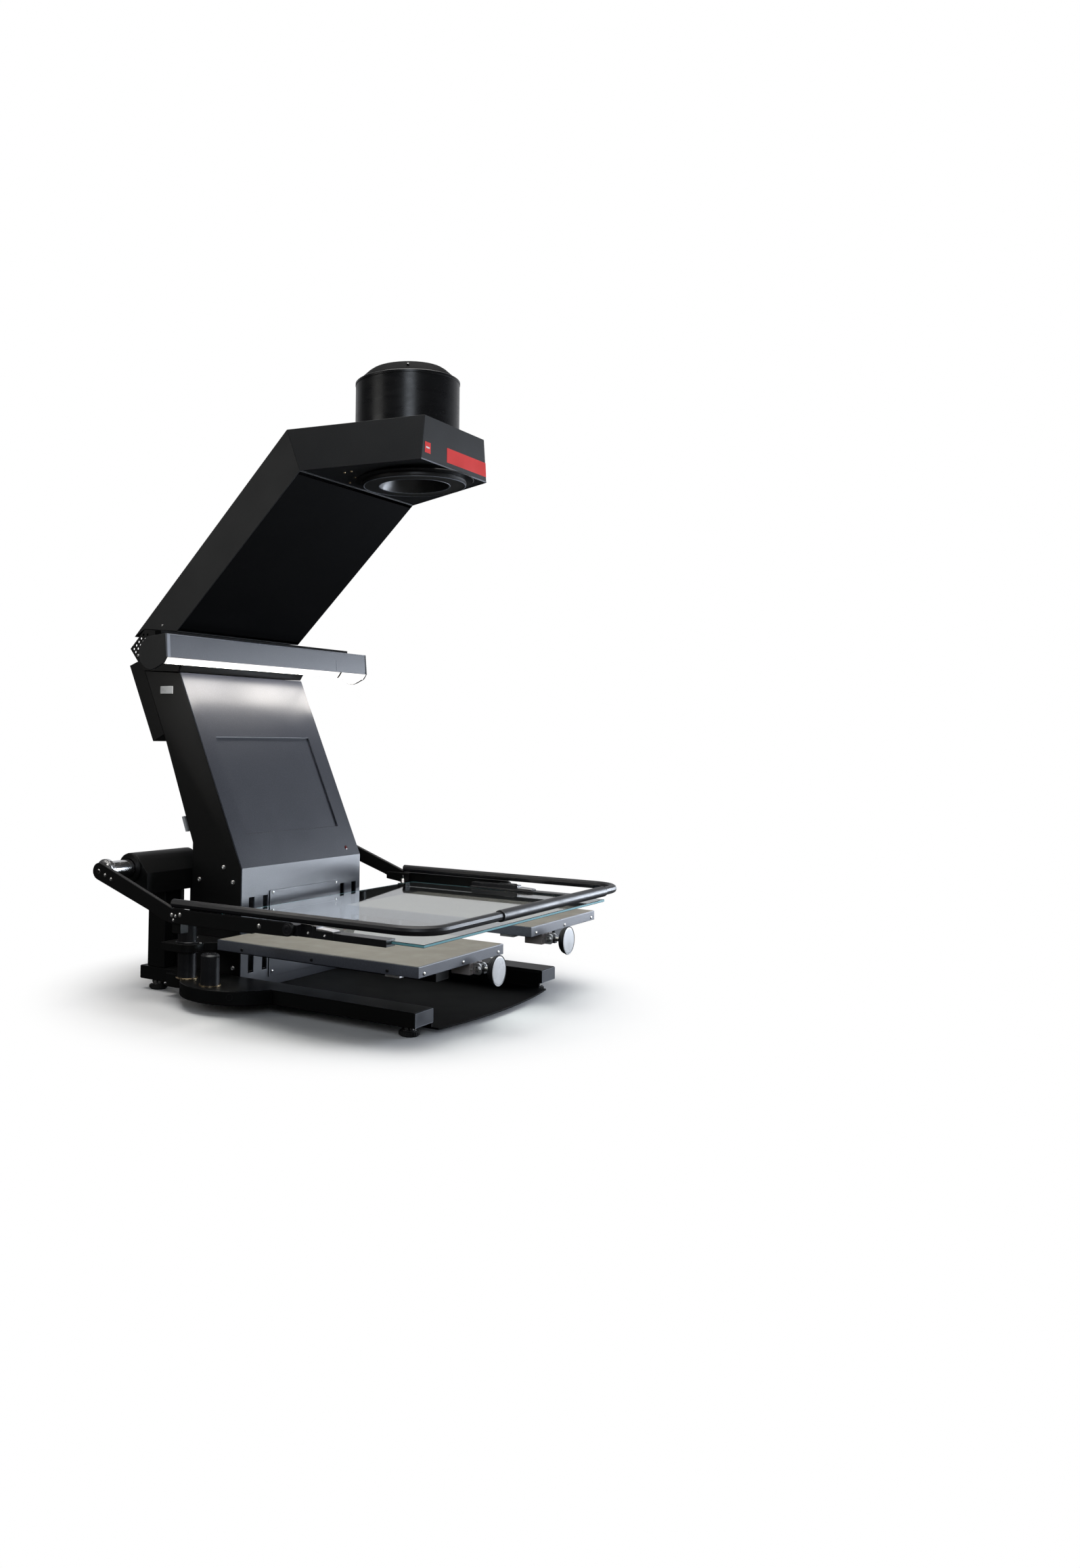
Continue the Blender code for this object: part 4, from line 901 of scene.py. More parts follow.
# %% Painted highlight along the edge of the service cover
# The pale strips on the top and left edges are painted highlights.
shape = bmesh.new()
slab(shape, [(-114.0, 195.9), (114.0, 195.9), (114.0, 196.6), (-114.0, 196.6)], -2.0, -1.4, "y")
slab(shape, [(-114.0, 30.0), (-113.3, 30.0), (-113.3, 196.6), (-114.0, 196.6)], -2.0, -1.4, "y")
add_piece("cover_edge_highlight", shape, edge_highlight_paint, "base")
print("pale cut edge of the cover")

# %% Guide rods and spindles behind the slots
for name, x, radius, finish in (("rod_left", -169.5, 5.0, chrome), ("rod_right", 176.0, 5.0, chrome)):
    shape = bmesh.new()
    lathe(shape, [(0, 40), (radius, 41), (radius, 193), (radius - 1, 194), (0, 194)], (x, 13.0, 0), (0, 0, 1))
    lathe(shape, [(radius, 92), (9, 93), (9, 104), (radius, 105)], (x, 13.0, 0), (0, 0, 1))
    add_piece(f"guide_{name}", shape, finish, "base")
for name, x in (("left", -127.0), ("right", 134.0)):
    shape = bmesh.new()
    thread = [(0, 40)]
    for turn in range(51):
        thread += [(3.4, 40 + 3 * turn), (4.4, 41 + 3 * turn), (4.4, 42 + 3 * turn)]
    lathe(shape, thread + [(3.4, 193), (0, 193)], (x, 14.0, 0), (0, 0, 1), 16)
    add_piece(f"lift_spindle_{name}", shape, zinc, "base")
print("two guide rods and two threaded spindles")

# %% Sensor window and display surround
PANEL_OUT = (0.0, -0.915, 0.403)
SENSOR_PLACE = (157.0, 7.05, 261.8)
shape = bmesh.new()
profile = [(0, -1.0), (5.6, -1.0), (5.6, 0.2), (5.0, 0.5), (4.6, 0.2), (4.4, 0.2)]
lathe(shape, profile, SENSOR_PLACE, PANEL_OUT)
add_piece("sensor_collar", shape, grip_plastic, "base")
shape = bmesh.new()
lathe(shape, [(4.4, -0.4), (4.4, 0.25), (3.0, 0.65), (0, 0.8)], SENSOR_PLACE, PANEL_OUT)
add_piece("sensor_window", shape, sensor_red, "base")
print("sensor window in the leaning panel")

# %% [markdown]
# ## Lamp bar
# The lamp is a painted aluminium extrusion. A thin pale lip along the upper front edge and pale lines at its
# seams are painted highlights. A dark mounting strip lies on top, in the duller black, so that it reads as
# the shade under the arm, and two brackets tie it to the neck. The end plates stand out below the opal strip;
# their inner faces are painted white, a painted glow for the light from the strip that falls on them.

# %% Lamp trim, strip and brackets
# The pale lip along the upper front edge and the pale seam lines are painted highlights.
shape = bmesh.new()
slab(shape, [(81.2, 684.2), (82.4, 686.0), (84.4, 686.3), (84.4, 685.2)], -330.5, 330.5, "x")
add_piece("lamp_lip_highlight", shape, edge_highlight_paint, "base", 0.3)
shape = bmesh.new()
slab(shape, [(78.55, 642.4), (81.55, 685.0), (82.6, 685.0), (80.0, 642.4)], -331.2, -323.0, "x")
slab(shape, [(78.78, 645.0), (80.2, 665.0), (81.0, 665.0), (80.0, 645.0)], 215.6, 216.6, "x")
add_piece("lamp_seam_highlights", shape, edge_highlight_paint, "base")
shape = bmesh.new()
# This strip is in the duller black so that it reads dark: painted shade from the arm above the lamp.
strip = [(-331.0, 97.0), (283.0, 97.0), (265.0, 112.5), (-331.0, 112.5)]
slab(shape, strip, 682.4, 692.6, "z")
add_piece("lamp_top_shade_strip", shape, shade_black_paint, "base", 0.8)
shape = bmesh.new()
for x in (-150.0, 150.0):
    slab(shape, [(118.0, 655.0), (157.5, 648.0), (157.5, 688.0), (118.0, 680.5)], x - 16, x + 16, "x")
add_piece("lamp_brackets", shape, black_paint, "base", 1.0)
print("lamp trim ready")

# %% Painted glow on the inner faces of the lamp's end plates
# White plastic stands in for the light of the strip on these faces: a painted glow.
for name, side in SIDES.items():
    shape = bmesh.new()
    low_x, high_x = across(side, 330.2, 331.2)
    outline = [(80.6, 640.4), (86.4, 632.2)]
    for step in range(13):
        angle = math.radians(-110 + 90 * step / 12)
        outline.append((117.0 + 30.6 * math.cos(angle), 650.7 + 30.6 * math.sin(angle)))
    slab(shape, outline + [(120.0, 641.4)], low_x, high_x, "x")
    add_piece(f"lamp_end_glow_{name}", shape, white_plastic, "base")
shape = bmesh.new()
slab(shape, [(77.3, 640.9), (85.8, 629.6), (90.0, 629.6), (90.0, 634.4), (80.5, 642.2)], 229.0, 234.0, "x")
slab(shape, [(89.5, 633.6), (138.0, 633.6), (138.0, 635.2), (89.5, 635.2)], 229.6, 233.4, "x")
add_piece("lamp_joint", shape, black_paint, "base", 0.3)
print("white end faces and the joint in the strip")

# %% [markdown]
# ## Neck and arm
# The ears beside the neck are held by two larger screws each, and one small screw at the foot of
# the arm. Fine lines of shadow mark where the neck, the arm and the head meet.

# %% Neck and arm fasteners
for name, side in SIDES.items():
    ear = [(side * 203.3, y, z) for y, z in ((255.9, 682.3), (278.4, 657.6))]
    screw_set(f"ear_screws_{name}", ear, (side, 0, 0), 3.6, zinc, "base")
    foot = [(side * 201.0, 215.7, 716.6)]
    screw_set(f"arm_screw_{name}", foot, (side, 0, 0), 2.6, zinc, "base")
print("ear and arm screws")

# %% [markdown]
# ## Camera head
# The head's front carries a printed label: here a plain red square and a plain band stand for it.
# Brass screws hold the floor of the head, and a stepped flange guides the lens ring. The camera's
# front glass sits deep in the ring, where it is safe from fingers.

# %% Label
shape = bmesh.new()
slab(shape, [(-32.0, 1014.0), (122.4, 1014.0), (119.4, 1041.5), (-32.0, 1041.5)], -340.35, -339.7, "y")
slab(shape, [(-112.0, 1018.0), (-92.0, 1018.0), (-92.0, 1038.0), (-112.0, 1038.0)], -340.35, -339.7, "y")
add_piece("label_band", shape, red_print, "base")
shape = bmesh.new()
slab(shape, [(-108.0, 1026.5), (-96.0, 1026.5), (-96.0, 1029.5), (-108.0, 1029.5)], -340.5, -340.2, "y")
add_piece("label_line", shape, white_plastic, "base")
# A pale strip along the head's lower front edge: a painted highlight.
shape = bmesh.new()
slab(shape, [(-124.0, 1003.2), (124.0, 1003.2), (123.8, 1005.4), (-123.8, 1005.4)], -340.3, -339.8, "y")
add_piece("head_front_highlight", shape, edge_highlight_paint, "base")
print("plain label: a red square and a red band")

# %% Underside of the head
RING_CENTRE = (0, -250.0, 0)
HEAD_SLOPE = (1003.0 - 991.3) / (340.0 - 123.3)
BELOW = Vector((0.0, -HEAD_SLOPE, -1.0)).normalized()


def under_head(x, y):
    """The place on the sloping floor of the head at x, y."""
    return (x, y, 991.6 + (-123.3 - y) * HEAD_SLOPE)


FRONT_SCREWS = ((-132.3, -176.7), (-132.2, -192.1), (-87.9, -171.2), (16.8, -326.4))
OTHER_SCREWS = ((132.3, -184.0), (87.9, -171.2), (-60.0, -140.0), (60.0, -140.0))
floor_places = [under_head(x, y) for x, y in FRONT_SCREWS + OTHER_SCREWS]
screw_set("head_floor_screws", floor_places, BELOW, 2.4, brass, "base")
shape = bmesh.new()
profile = [(100.5, 998.5), (113.0, 996.6), (114.5, 994.6), (113.0, 993.0), (104.0, 992.4), (100.5, 991.6)]
lathe(shape, profile, RING_CENTRE, (0, 0, 1), 64)
add_piece("lens_flange", shape, black_paint, "base", 0.4)
print("brass screws:", len(floor_places), "and the stepped flange")

# %% Camera lens
LENS_CENTRE = (0, -241.0, 0)
shape = bmesh.new()
rings = [(33.6, 1043.8), (33.6, 1038.0), (32.0, 1036.0), (29.0, 1036.0), (27.5, 1040.0), (24.0, 1040.0)]
rings += [(23.0, 1043.0), (19.0, 1043.0), (19.0, 1046.0)]
lathe(shape, rings, LENS_CENTRE, (0, 0, 1), 48)
add_piece("lens_barrel", shape, anodised_black, "base", 0.3)
shape = bmesh.new()
front_glass = [(0, 1039.5), (8, 1039.9), (14, 1041.0), (19, 1042.8), (19, 1044.0), (0, 1044.0)]
lathe(shape, front_glass, LENS_CENTRE, (0, 0, 1), 48)
add_piece("lens_glass", shape, lens_coating, "base")
# Pale rings on the lips of the lens ring: painted highlights.
shape = bmesh.new()
outer_lip = [(97.0, 983.7), (98.0, 983.2), (99.0, 983.7), (99.0, 984.4), (97.0, 984.4)]
inner_lip = [(66.6, 984.6), (67.4, 983.6), (69.0, 983.4), (69.6, 984.2)]
lathe(shape, outer_lip, RING_CENTRE, (0, 0, 1), 80)
lathe(shape, inner_lip, RING_CENTRE, (0, 0, 1), 80)
add_piece("lens_ring_highlights", shape, edge_highlight_paint, "base")
print("lens with stepped barrel and coated glass")

# %% Drum over the camera
DRUM_Y, CAP_TOP = -232.0, 1200.2
CAP_SCREW_CIRCLE = 86.0
shape = bmesh.new()
rim = [(100.6, 1181.0), (101.7, 1182.0), (101.7, 1186.2), (100.6, 1187.2)]
lathe(shape, rim, (0, DRUM_Y, 0), (0, 0, 1), 96)
add_piece("drum_rim", shape, drum_gloss, "base")
cap_places = []
for angle in (0.5, 2.1, 3.7, 5.3):
    x, y = CAP_SCREW_CIRCLE * math.cos(angle), DRUM_Y + CAP_SCREW_CIRCLE * math.sin(angle)
    cap_places.append((x, y, CAP_TOP))
screw_set("drum_cap_screws", cap_places, (0, 0, 1), 2.6, zinc, "base")
print("drum rim and cap screws")

# %% [markdown]
# ## Swinging frame
# The frame hangs on two polished shafts at the back. Each flat side arm is screwed to its shaft by
# three screws, and to the side rail at the elbow by four. Near the front a large black pivot bolt
# holds the glass, so that the glass can tilt a little and lie flat on the paper.

# %% Shaft bosses on the drive housings
SHAFT_Y, SHAFT_Z = 182.6, 243.3
for name, side in SIDES.items():
    shape = bmesh.new()
    profile = [(17.4, 0.2), (17.4, 4.2), (18.4, 5.0), (25.5, 5.0), (27.6, 3.2), (27.9, 0.2)]
    lathe(shape, profile, (side * 310.9, SHAFT_Y, SHAFT_Z), (side, 0, 0), 48)
    add_piece(f"housing_boss_{name}", shape, black_paint, "base")
    shape = bmesh.new()
    profile = [(16.5, 0.0), (20.5, 0.6), (21.5, 1.8), (21.5, 8.6), (20.5, 9.6), (16.5, 10.2)]
    lathe(shape, profile, (side * 370.0, SHAFT_Y, SHAFT_Z), (side, 0, 0), 48)
    add_piece(f"shaft_collar_{name}", shape, chrome, "glass_frame")
print("bosses and shaft collars")

# %% Screws of the arms, elbows and links
ARM_FACE = 395.0
ARM_SCREWS = ((SHAFT_Y, SHAFT_Z, 3.4), (166.2, 237.5, 2.6), (150.6, 231.2, 2.6))
ELBOW_SCREWS = ((-1.0, 180.0, 3.2), (-20.0, 182.0, 3.2), (-10.0, 179.0, 2.2))
ELBOW_SCREWS += ((-5.0, 171.5, 2.0), (-197.5, 180.0, 3.6))
for name, side in SIDES.items():
    shape = bmesh.new()
    for y, z, radius in ARM_SCREWS + ELBOW_SCREWS:
        rim = [(radius + 0.8, -1.0), (radius + 0.8, -0.75), (radius + 0.3, -0.55), (0.75 * radius, -0.18)]
        rim += [(0.45 * radius, 0.0), (0.36 * radius, 0.0, "hex"), (0.34 * radius, -0.4, "hex"), (0, -0.4)]
        lathe(shape, rim, (side * ARM_FACE, y, z), (side, 0, 0), 24)
    add_piece(f"frame_screws_{name}", shape, zinc, "glass_frame")
print("screws per side:", len(ARM_SCREWS) + len(ELBOW_SCREWS))

# %% Pivot bolts of the glass
PIVOT_Y, PIVOT_Z = -256.3, 180.5
for name, side in SIDES.items():
    shape = bmesh.new()
    bolt = [(7.6, -1.0), (7.6, -0.2), (6.8, 0.0), (3.2, 0.0)]
    bolt += [(3.0, 0.0, "hex"), (2.9, -0.7, "hex"), (0, -0.7)]
    lathe(shape, bolt, (side * ARM_FACE, PIVOT_Y, PIVOT_Z), (side, 0, 0), 36)
    add_piece(f"pivot_bolt_{name}", shape, anodised_black, "glass_frame")
    shape = bmesh.new()
    washer = [(7.6, 0), (9.8, 0), (9.6, 0.4), (8.6, 0.45), (7.6, 0.2)]
    lathe(shape, washer, (side * 394.2, PIVOT_Y, PIVOT_Z), (side, 0, 0), 36)
    add_piece(f"pivot_washer_{name}", shape, tube_lacquer, "glass_frame")
print("pivot bolts")

# %% [markdown]
# Inside each elbow a block joins arm, rail and tube. A short black post carries a thumb screw whose
# pin stops the glass against the back edge. The sleeve on the handle ends in two turned collars.

# %% Elbow blocks, thumb screws and sleeve collars
for name, side in SIDES.items():
    shape = bmesh.new()
    upper = [(-16.0, 167.0), (44.0, 175.0), (44.0, 190.0), (-16.0, 191.0)]
    lower = [(-14.0, 147.0), (6.0, 147.0), (6.0, 168.0), (-14.0, 168.0)]
    slab(shape, upper, *across(side, 376.0, 385.0), "x")
    slab(shape, lower, *across(side, 364.0, 385.0), "x")
    add_piece(f"elbow_block_{name}", shape, black_paint, "glass_frame", 0.8)
    shape = bmesh.new()
    knob = [(0, 0), (2.2, 0), (2.2, 3), (5.4, 3.4)]
    for notch in range(5):
        knob += [(5.4, 4.2 + 1.4 * notch), (4.9, 4.9 + 1.4 * notch)]
    knob += [(5.4, 11.4), (4.6, 12.4), (1.6, 12.6), (1.6, 20.0), (0, 20.4)]
    lathe(shape, knob, (side * 370.0, -4.5, 166.0), (0, 0, 1), 32)
    add_piece(f"thumb_screw_{name}", shape, chrome, "glass_frame")
shape = bmesh.new()
for x, way in ((-148.0, 1), (290.0, -1)):
    profile = [(8.2, -0.4), (9.5, -0.2), (10.2, 0.7), (10.2, 4.2), (9.9, 5.0), (9.9, 6.0)]
    profile += [(10.19, 6.6), (10.19, 8.0)]
    lathe(shape, profile, (x, -519.0, 200.0), (way, 0, 0), 40)
add_piece("sleeve_collars", shape, tube_lacquer, "glass_frame")
print("elbow blocks, thumb screws and sleeve collars")

# %% [markdown]
# ## Glass holder
# The pane sits in a channel on each side. Two small clamping blocks press the channel on the glass;
# the front one has a milled bright top. Each has one screw, and a short bright spacer lies between.

# %% Clamping blocks of the glass
for name, side in SIDES.items():
    shape = bmesh.new()
    rear_block = [(-294.0, 168.4), (-268.0, 168.4), (-268.0, 189.2), (-289.0, 189.2), (-294.0, 186.0)]
    front_block = [(-336.0, 168.0), (-300.5, 168.0), (-300.5, 181.0), (-333.0, 181.0), (-336.0, 178.5)]
    slab(shape, rear_block, *across(side, 352.4, 372.6), "x")
    slab(shape, front_block, *across(side, 351.0, 373.0), "x")
    add_piece(f"glass_blocks_{name}", shape, anodised_black, "glass_holder", 0.7)
    shape = bmesh.new()
    spacer = [(-300.4, 176.5), (-294.2, 176.5), (-294.2, 187.6), (-300.4, 184.6)]
    milled_top = [(-334.5, 181.2), (-301.0, 181.2), (-301.0, 184.4), (-331.0, 182.6)]
    slab(shape, spacer, *across(side, 353.5, 371.5), "x")
    slab(shape, milled_top, *across(side, 352.0, 372.0), "x")
    add_piece(f"glass_block_tops_{name}", shape, milled, "glass_holder", 0.4)
    places = [(side * 372.6, -284.0, 175.0), (side * 373.0, -318.0, 173.8)]
    screw_set(f"glass_block_screws_{name}", places, (side, 0, 0), 2.4, zinc, "glass_holder")
print("clamping blocks on both channels")

# %% [markdown]
# ## Book plates
# Each plate is a folded tray. Its top is covered with a thin greige foil that keeps the book from
# sliding, set in a little from the dark rim. Three button screws hold the front rim.

# %% Covers and rim screws of the plates
PLATE_TOPS = {"left": 137.6, "right": 152.8}
CORNER_RADIUS, RIM_DROP = 4.0, 12.0
for name, side in SIDES.items():
    top = PLATE_TOPS[name]
    low_x, high_x = across(side, 56.8, 341.2)
    left_x, right_x = low_x + CORNER_RADIUS, high_x - CORNER_RADIUS
    centres = ((right_x, -69.9, 0), (left_x, -69.9, 90), (left_x, -472.7, 180), (right_x, -472.7, 270))
    corners = []
    for x, y, start in centres:
        for step in range(5):
            angle = math.radians(start + 22.5 * step)
            round_x, round_y = CORNER_RADIUS * math.cos(angle), CORNER_RADIUS * math.sin(angle)
            corners.append((x + round_x, y + round_y))
    shape = bmesh.new()
    slab(shape, corners, top - 0.2, top + 0.55, "z")
    add_piece(f"plate_cover_{name}", shape, plate_cover, f"plate_{name}", 0.25)
    front = [(side * x, -478.5, top - RIM_DROP) for x in (75.0, 200.0, 326.0)]
    outer = [(side * 343.0, y, top - RIM_DROP) for y in (-420.0, -270.0, -120.0)]
    plate = f"plate_{name}"
    screw_set(f"plate_rim_screws_{name}", front, (0, -1, 0), 2.9, zinc, plate)
    screw_set(f"plate_side_screws_{name}", outer, (side, 0, 0), 2.9, head_paint, plate)
print("plate covers and rim screws")

# %% [markdown]
# ## Lift
# The carrier of each plate slides on a post. A turned bush lines its hole, a clamping collar sits
# below, and screws tie the carrier to its arm. Bright washers lie at the foot of each post.

# %% Bushes, collars and washers of the lift
POST_X, POST_Y = 284.5, 58.5
DAMPER_X, DAMPER_Y = 309.0, -19.0
CARRIER_TOP = 112.0
CARRIER_SCREWS = ((228.0, 84.0), (228.0, 20.0), (276.0, 34.5), (228.0, -300.0), (228.0, -80.0))
for name, side in SIDES.items():
    drop = PLATE_TOPS[name] - PLATE_TOPS["left"]
    post = (side * POST_X, POST_Y, 0.0)
    damper = (side * DAMPER_X, DAMPER_Y, 0)
    shape = bmesh.new()
    bush = [(17.7, 111.5), (17.7, 115.2), (21.2, 115.2), (22.0, 114.2), (22.0, 111.5)]
    collar = [(17.7, 97.5), (17.7, 94.6), (21.6, 94.6), (22.6, 95.4), (22.6, 97.5)]
    lathe(shape, bush, (post[0], post[1], drop), (0, 0, 1), 40)
    lathe(shape, collar, (post[0], post[1], drop), (0, 0, 1), 40)
    add_piece(f"lift_bush_{name}", shape, anodised_black, f"lift_{name}")
    places = [(side * x, y, CARRIER_TOP + drop) for x, y in CARRIER_SCREWS]
    screw_set(f"lift_screws_{name}", places, (0, 0, 1), 2.6, zinc, f"lift_{name}")
    shape = bmesh.new()
    lathe(shape, [(17.5, 46.8), (20.6, 46.9), (20.6, 48.2), (19.6, 49.0), (17.5, 49.0)], post, (0, 0, 1), 40)
    lathe(shape, [(17.5, 46.8), (20.0, 46.9), (20.0, 48.4), (17.5, 48.6)], damper, (0, 0, 1), 40)
    add_piece(f"post_washers_{name}", shape, brass, "base")
    shape = bmesh.new()
    cap = [(14.6, 102.9), (9.0, 103.2), (8.4, 104.4), (4.0, 104.6)]
    cap += [(3.8, 104.6, "hex"), (3.8, 103.0, "hex"), (0, 103.0)]
    lathe(shape, cap, damper, (0, 0, 1), 40)
    add_piece(f"damper_top_{name}", shape, anodised_black, "base")
print("bushes, collars and washers")

# %% [markdown]
# ## Clamps of the plates
# To set the gap for the spine the user loosens a clamp and slides the plate. The clamp is a bright
# block on the cross rail with a threaded rod, a shackle with two prongs and a black mushroom grip
# with a white face disc. The grip, disc and rod turn, so they replace the frame's plain knob.

# %% Clamps
CLAMP_X, CLAMP_DROP = 140.0, 30.6
KNOB_FACE_Y = -515.0
for name, side in SIDES.items():
    x, z = side * CLAMP_X, PLATE_TOPS[name] - CLAMP_DROP
    face = (x, KNOB_FACE_Y, z)
    shape = bmesh.new()
    grip = [(0, 15.0), (11.0, 15.0), (16.0, 14.2), (20.5, 12.4)]
    grip += [(23.6, 9.4), (25.0, 6.2), (24.8, 1.0), (0, 1.0)]
    lathe(shape, grip, face, (0, 1, 0), 64)
    add_piece(f"clamp_grip_{name}", shape, grip_plastic, f"knob_{name}")
    shape = bmesh.new()
    profile = [(0, 0.1), (22.0, 0.1), (23.0, 0.2), (24.0, 0.7), (24.4, 1.6), (0, 1.6)]
    lathe(shape, profile, face, (0, 1, 0), 64)
    disc = add_piece(f"clamp_disc_{name}", shape, white_plastic, f"knob_{name}")
    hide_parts(f"clamp_knob_{name}")
    shape = bmesh.new()
    profile = [(24.3, 0.5), (25.4, 0.1), (26.3, 0.8), (26.4, 2.6), (25.4, 3.8), (24.2, 4.0)]
    lathe(shape, profile, face, (0, 1, 0), 64)
    add_piece(f"clamp_rim_{name}", shape, grip_plastic, f"knob_{name}")
    shape = bmesh.new()
    thread = [(0, 14.0)]
    for turn in range(20):
        thread += [(3.3, 14.0 + 1.5 * turn), (4.0, 14.5 + 1.5 * turn), (4.0, 15.0 + 1.5 * turn)]
    lathe(shape, thread + [(3.3, 44.4), (0, 44.4)], face, (0, 1, 0), 20)
    add_piece(f"clamp_rod_{name}", shape, zinc, f"knob_{name}")
    print("clamp", name, "at x", x, "z", round(z, 1))

# %% Shackles and lock nuts of the clamps
for name, side in SIDES.items():
    x, z = side * CLAMP_X, PLATE_TOPS[name] - CLAMP_DROP
    shape = bmesh.new()
    for edge in (-1, 1):
        prong = [(-470.0, z - 9.5), (-470.0, z + 9.5), (-482.0, z + 9.5), (-486.5, z + 5.0)]
        prong += [(-486.5, z - 5.0), (-482.0, z - 9.5)]
        inner, outer = sorted((x + edge * 6.0, x + edge * 10.5))
        slab(shape, prong, inner, outer, "x")
    add_piece(f"clamp_shackle_{name}", shape, milled, f"plate_{name}", 0.7)
    shape = bmesh.new()
    bolt = [(2.0, 10.6), (5.0, 10.6), (5.4, 11.2), (5.4, 13.4), (2.6, 14.2)]
    bolt += [(2.4, 14.2, "hex"), (2.3, 12.0, "hex"), (0, 12.0)]
    nut = [(0, -14.0), (3.4, -14.0), (4.6, -13.2, "hex"), (4.6, -10.6, "hex"), (2.0, -10.6)]
    button = [(3.2, 0), (3.2, 1.0), (2.6, 1.6), (1.6, 1.6)]
    button += [(1.5, 1.6, "hex"), (1.4, 0.4, "hex"), (0, 0.4)]
    lathe(shape, bolt, (x, -479.0, z), (1, 0, 0), 24)
    lathe(shape, nut, (x, -479.0, z), (1, 0, 0), 24)
    for screw_x in (x - 17.0, x + 17.0):
        lathe(shape, button, (screw_x, -470.0, z), (0, -1, 0), 24)
    add_piece(f"clamp_bolts_{name}", shape, zinc, f"plate_{name}")
    shape = bmesh.new()
    lock_nut = [(4.2, 12.0), (7.5, 12.2, "hex"), (7.5, 15.6, "hex"), (4.2, 16.0)]
    lathe(shape, lock_nut, (x, -500.5, z), (0, 1, 0), 24)
    add_piece(f"clamp_nut_{name}", shape, grip_plastic, f"knob_{name}")
print("shackles and lock nuts")

# %% [markdown]
# ## Base
# Each steel beam is closed by a grey end plate; a pale line along its edges is a painted highlight. The beams
# stand on levelling feet: a ribbed rubber sole, a bright hexagon nut and a lock washer. The rounded blocks
# beside the beams have three cross holes for the cylinders behind them; their dark insides are painted shade.

# %% End plates of the beams
for name, side in SIDES.items():
    x0, x1 = across(side, 209.4, 267.1)
    shape = bmesh.new()
    slab(shape, [(x0, 21.2), (x1, 21.2), (x1, 44.4), (x0, 44.4)], -427.5, -426.2, "y")
    add_piece(f"beam_end_{name}", shape, end_paint, "base", 0.4)
    # The pale strips along the end plate's edges are painted highlights.
    shape = bmesh.new()
    edges = [((x0, 43.9), (x1, 44.6)), ((x0, 21.0), (x1, 21.7))]
    edges += [((x0, 21.0), (x0 + 0.7, 44.6)), ((x1 - 0.7, 21.0), (x1, 44.6))]
    for low, high in edges:
        slab(shape, [low, (high[0], low[1]), high, (low[0], high[1])], -427.7, -427.2, "y")
    add_piece(f"beam_end_highlight_{name}", shape, edge_highlight_paint, "base")
    x0, x1 = across(side, 196.2, 238.8)
    shape = bmesh.new()
    slab(shape, [(x0, 21.2), (x1, 21.2), (x1, 44.4), (x0, 44.4)], 219.9, 221.2, "y")
    add_piece(f"beam_tail_{name}", shape, black_paint, "base", 0.4)
print("end plates on four beam ends")

# %% Levelling feet
FOOT_XY = {"front": (238.0, -398.0), "rear": (217.5, 192.0)}
SOLE_RADIUS = 17.1
for name, side in SIDES.items():
    for end, (foot_x, foot_y) in FOOT_XY.items():
        body = f"foot_{end}_{name}_body"
        place = (side * foot_x, foot_y, 0.0)
        shape = bmesh.new()
        nut = [(4.9, 18.1), (9.6, 18.1), (10.8, 17.6, "hex"), (10.8, 12.0, "hex"), (9.6, 11.4), (4.9, 11.2)]
        washer = [(5.05, 11.0), (12.6, 11.0), (13.0, 10.6), (13.0, 10.0), (5.05, 9.8)]
        lathe(shape, nut, place, (0, 0, 1), 36)
        lathe(shape, washer, place, (0, 0, 1), 36)
        add_piece(f"foot_nut_{end}_{name}", shape, zinc, body)
        shape = bmesh.new()
        for rib in range(24):
            angle = math.radians(15 * rib)
            around = Vector((math.cos(angle), math.sin(angle), 0))
            middle = Vector(place) + SOLE_RADIUS * around
            lathe(shape, [(0, 2.2), (0.8, 2.3), (0.8, 7.4), (0, 7.6)], middle, (0, 0, 1), 8)
        add_piece(f"foot_ribs_{end}_{name}", shape, sole_rubber, body)
print("nuts and ribs on four feet")

# %% Cross holes of the side blocks
POD_HOLES = ((-329.7, -82.7, 36.0), (-312.9, -104.3, 36.0), (-320.8, 42.1, 35.0))
POD_X, POD_Y = -235.0, -26.7
for name, side in SIDES.items():
    # The dark inside of each hole is painted shade.
    shape = bmesh.new()
    for x, y, z in POD_HOLES:
        out = Vector((-side * (x - POD_X), y - POD_Y, 0.0)).normalized()
        hole = [(6.2, -1.0), (6.2, 0.35), (5.4, 0.45), (5.2, -0.4), (0, -0.45)]
        lathe(shape, hole, (-side * x, y, z), out, 28)
    add_piece(f"pod_hole_shade_{name}", shape, hole_shade_paint, "base")
print("cross holes in both side blocks")

# %% Glossy cylinders beside the rear posts
for name, side in SIDES.items():
    shape = bmesh.new()
    for x in (176.0, 205.0):
        profile = [(0, 46.2), (9.0, 46.2), (9.0, 150.0), (8.0, 151.5), (4.0, 151.5), (4.0, 196.0), (0, 196.0)]
        lathe(shape, profile, (side * x, 145.5, 0), (0, 0, 1), 32)
    add_piece(f"rear_cylinders_{name}", shape, tube_lacquer, "base")
print("two slim cylinders behind each side")

# %% [markdown]
# ## Back
# The back was not seen, so it is kept plain: a mains inlet with its switch in the opening near the
# floor, vent slots on the electronics box, and screws along the edges of the back sheets.

# %% Mains inlet
shape = bmesh.new()
block(shape, (66.9, 110.0, 70.9), (113.1, 124.2, 97.1))
add_piece("inlet_body", shape, grip_plastic, "base", 0.8)
shape = bmesh.new()
flange = [(63.0, 66.5), (117.0, 66.5), (120.0, 69.5), (120.0, 98.5)]
flange += [(117.0, 101.5), (63.0, 101.5), (60.0, 98.5), (60.0, 69.5)]
slab(shape, flange, 124.9, 126.9, "y")
add_piece("inlet_flange", shape, grip_plastic, "base", 0.5)
shape = bmesh.new()
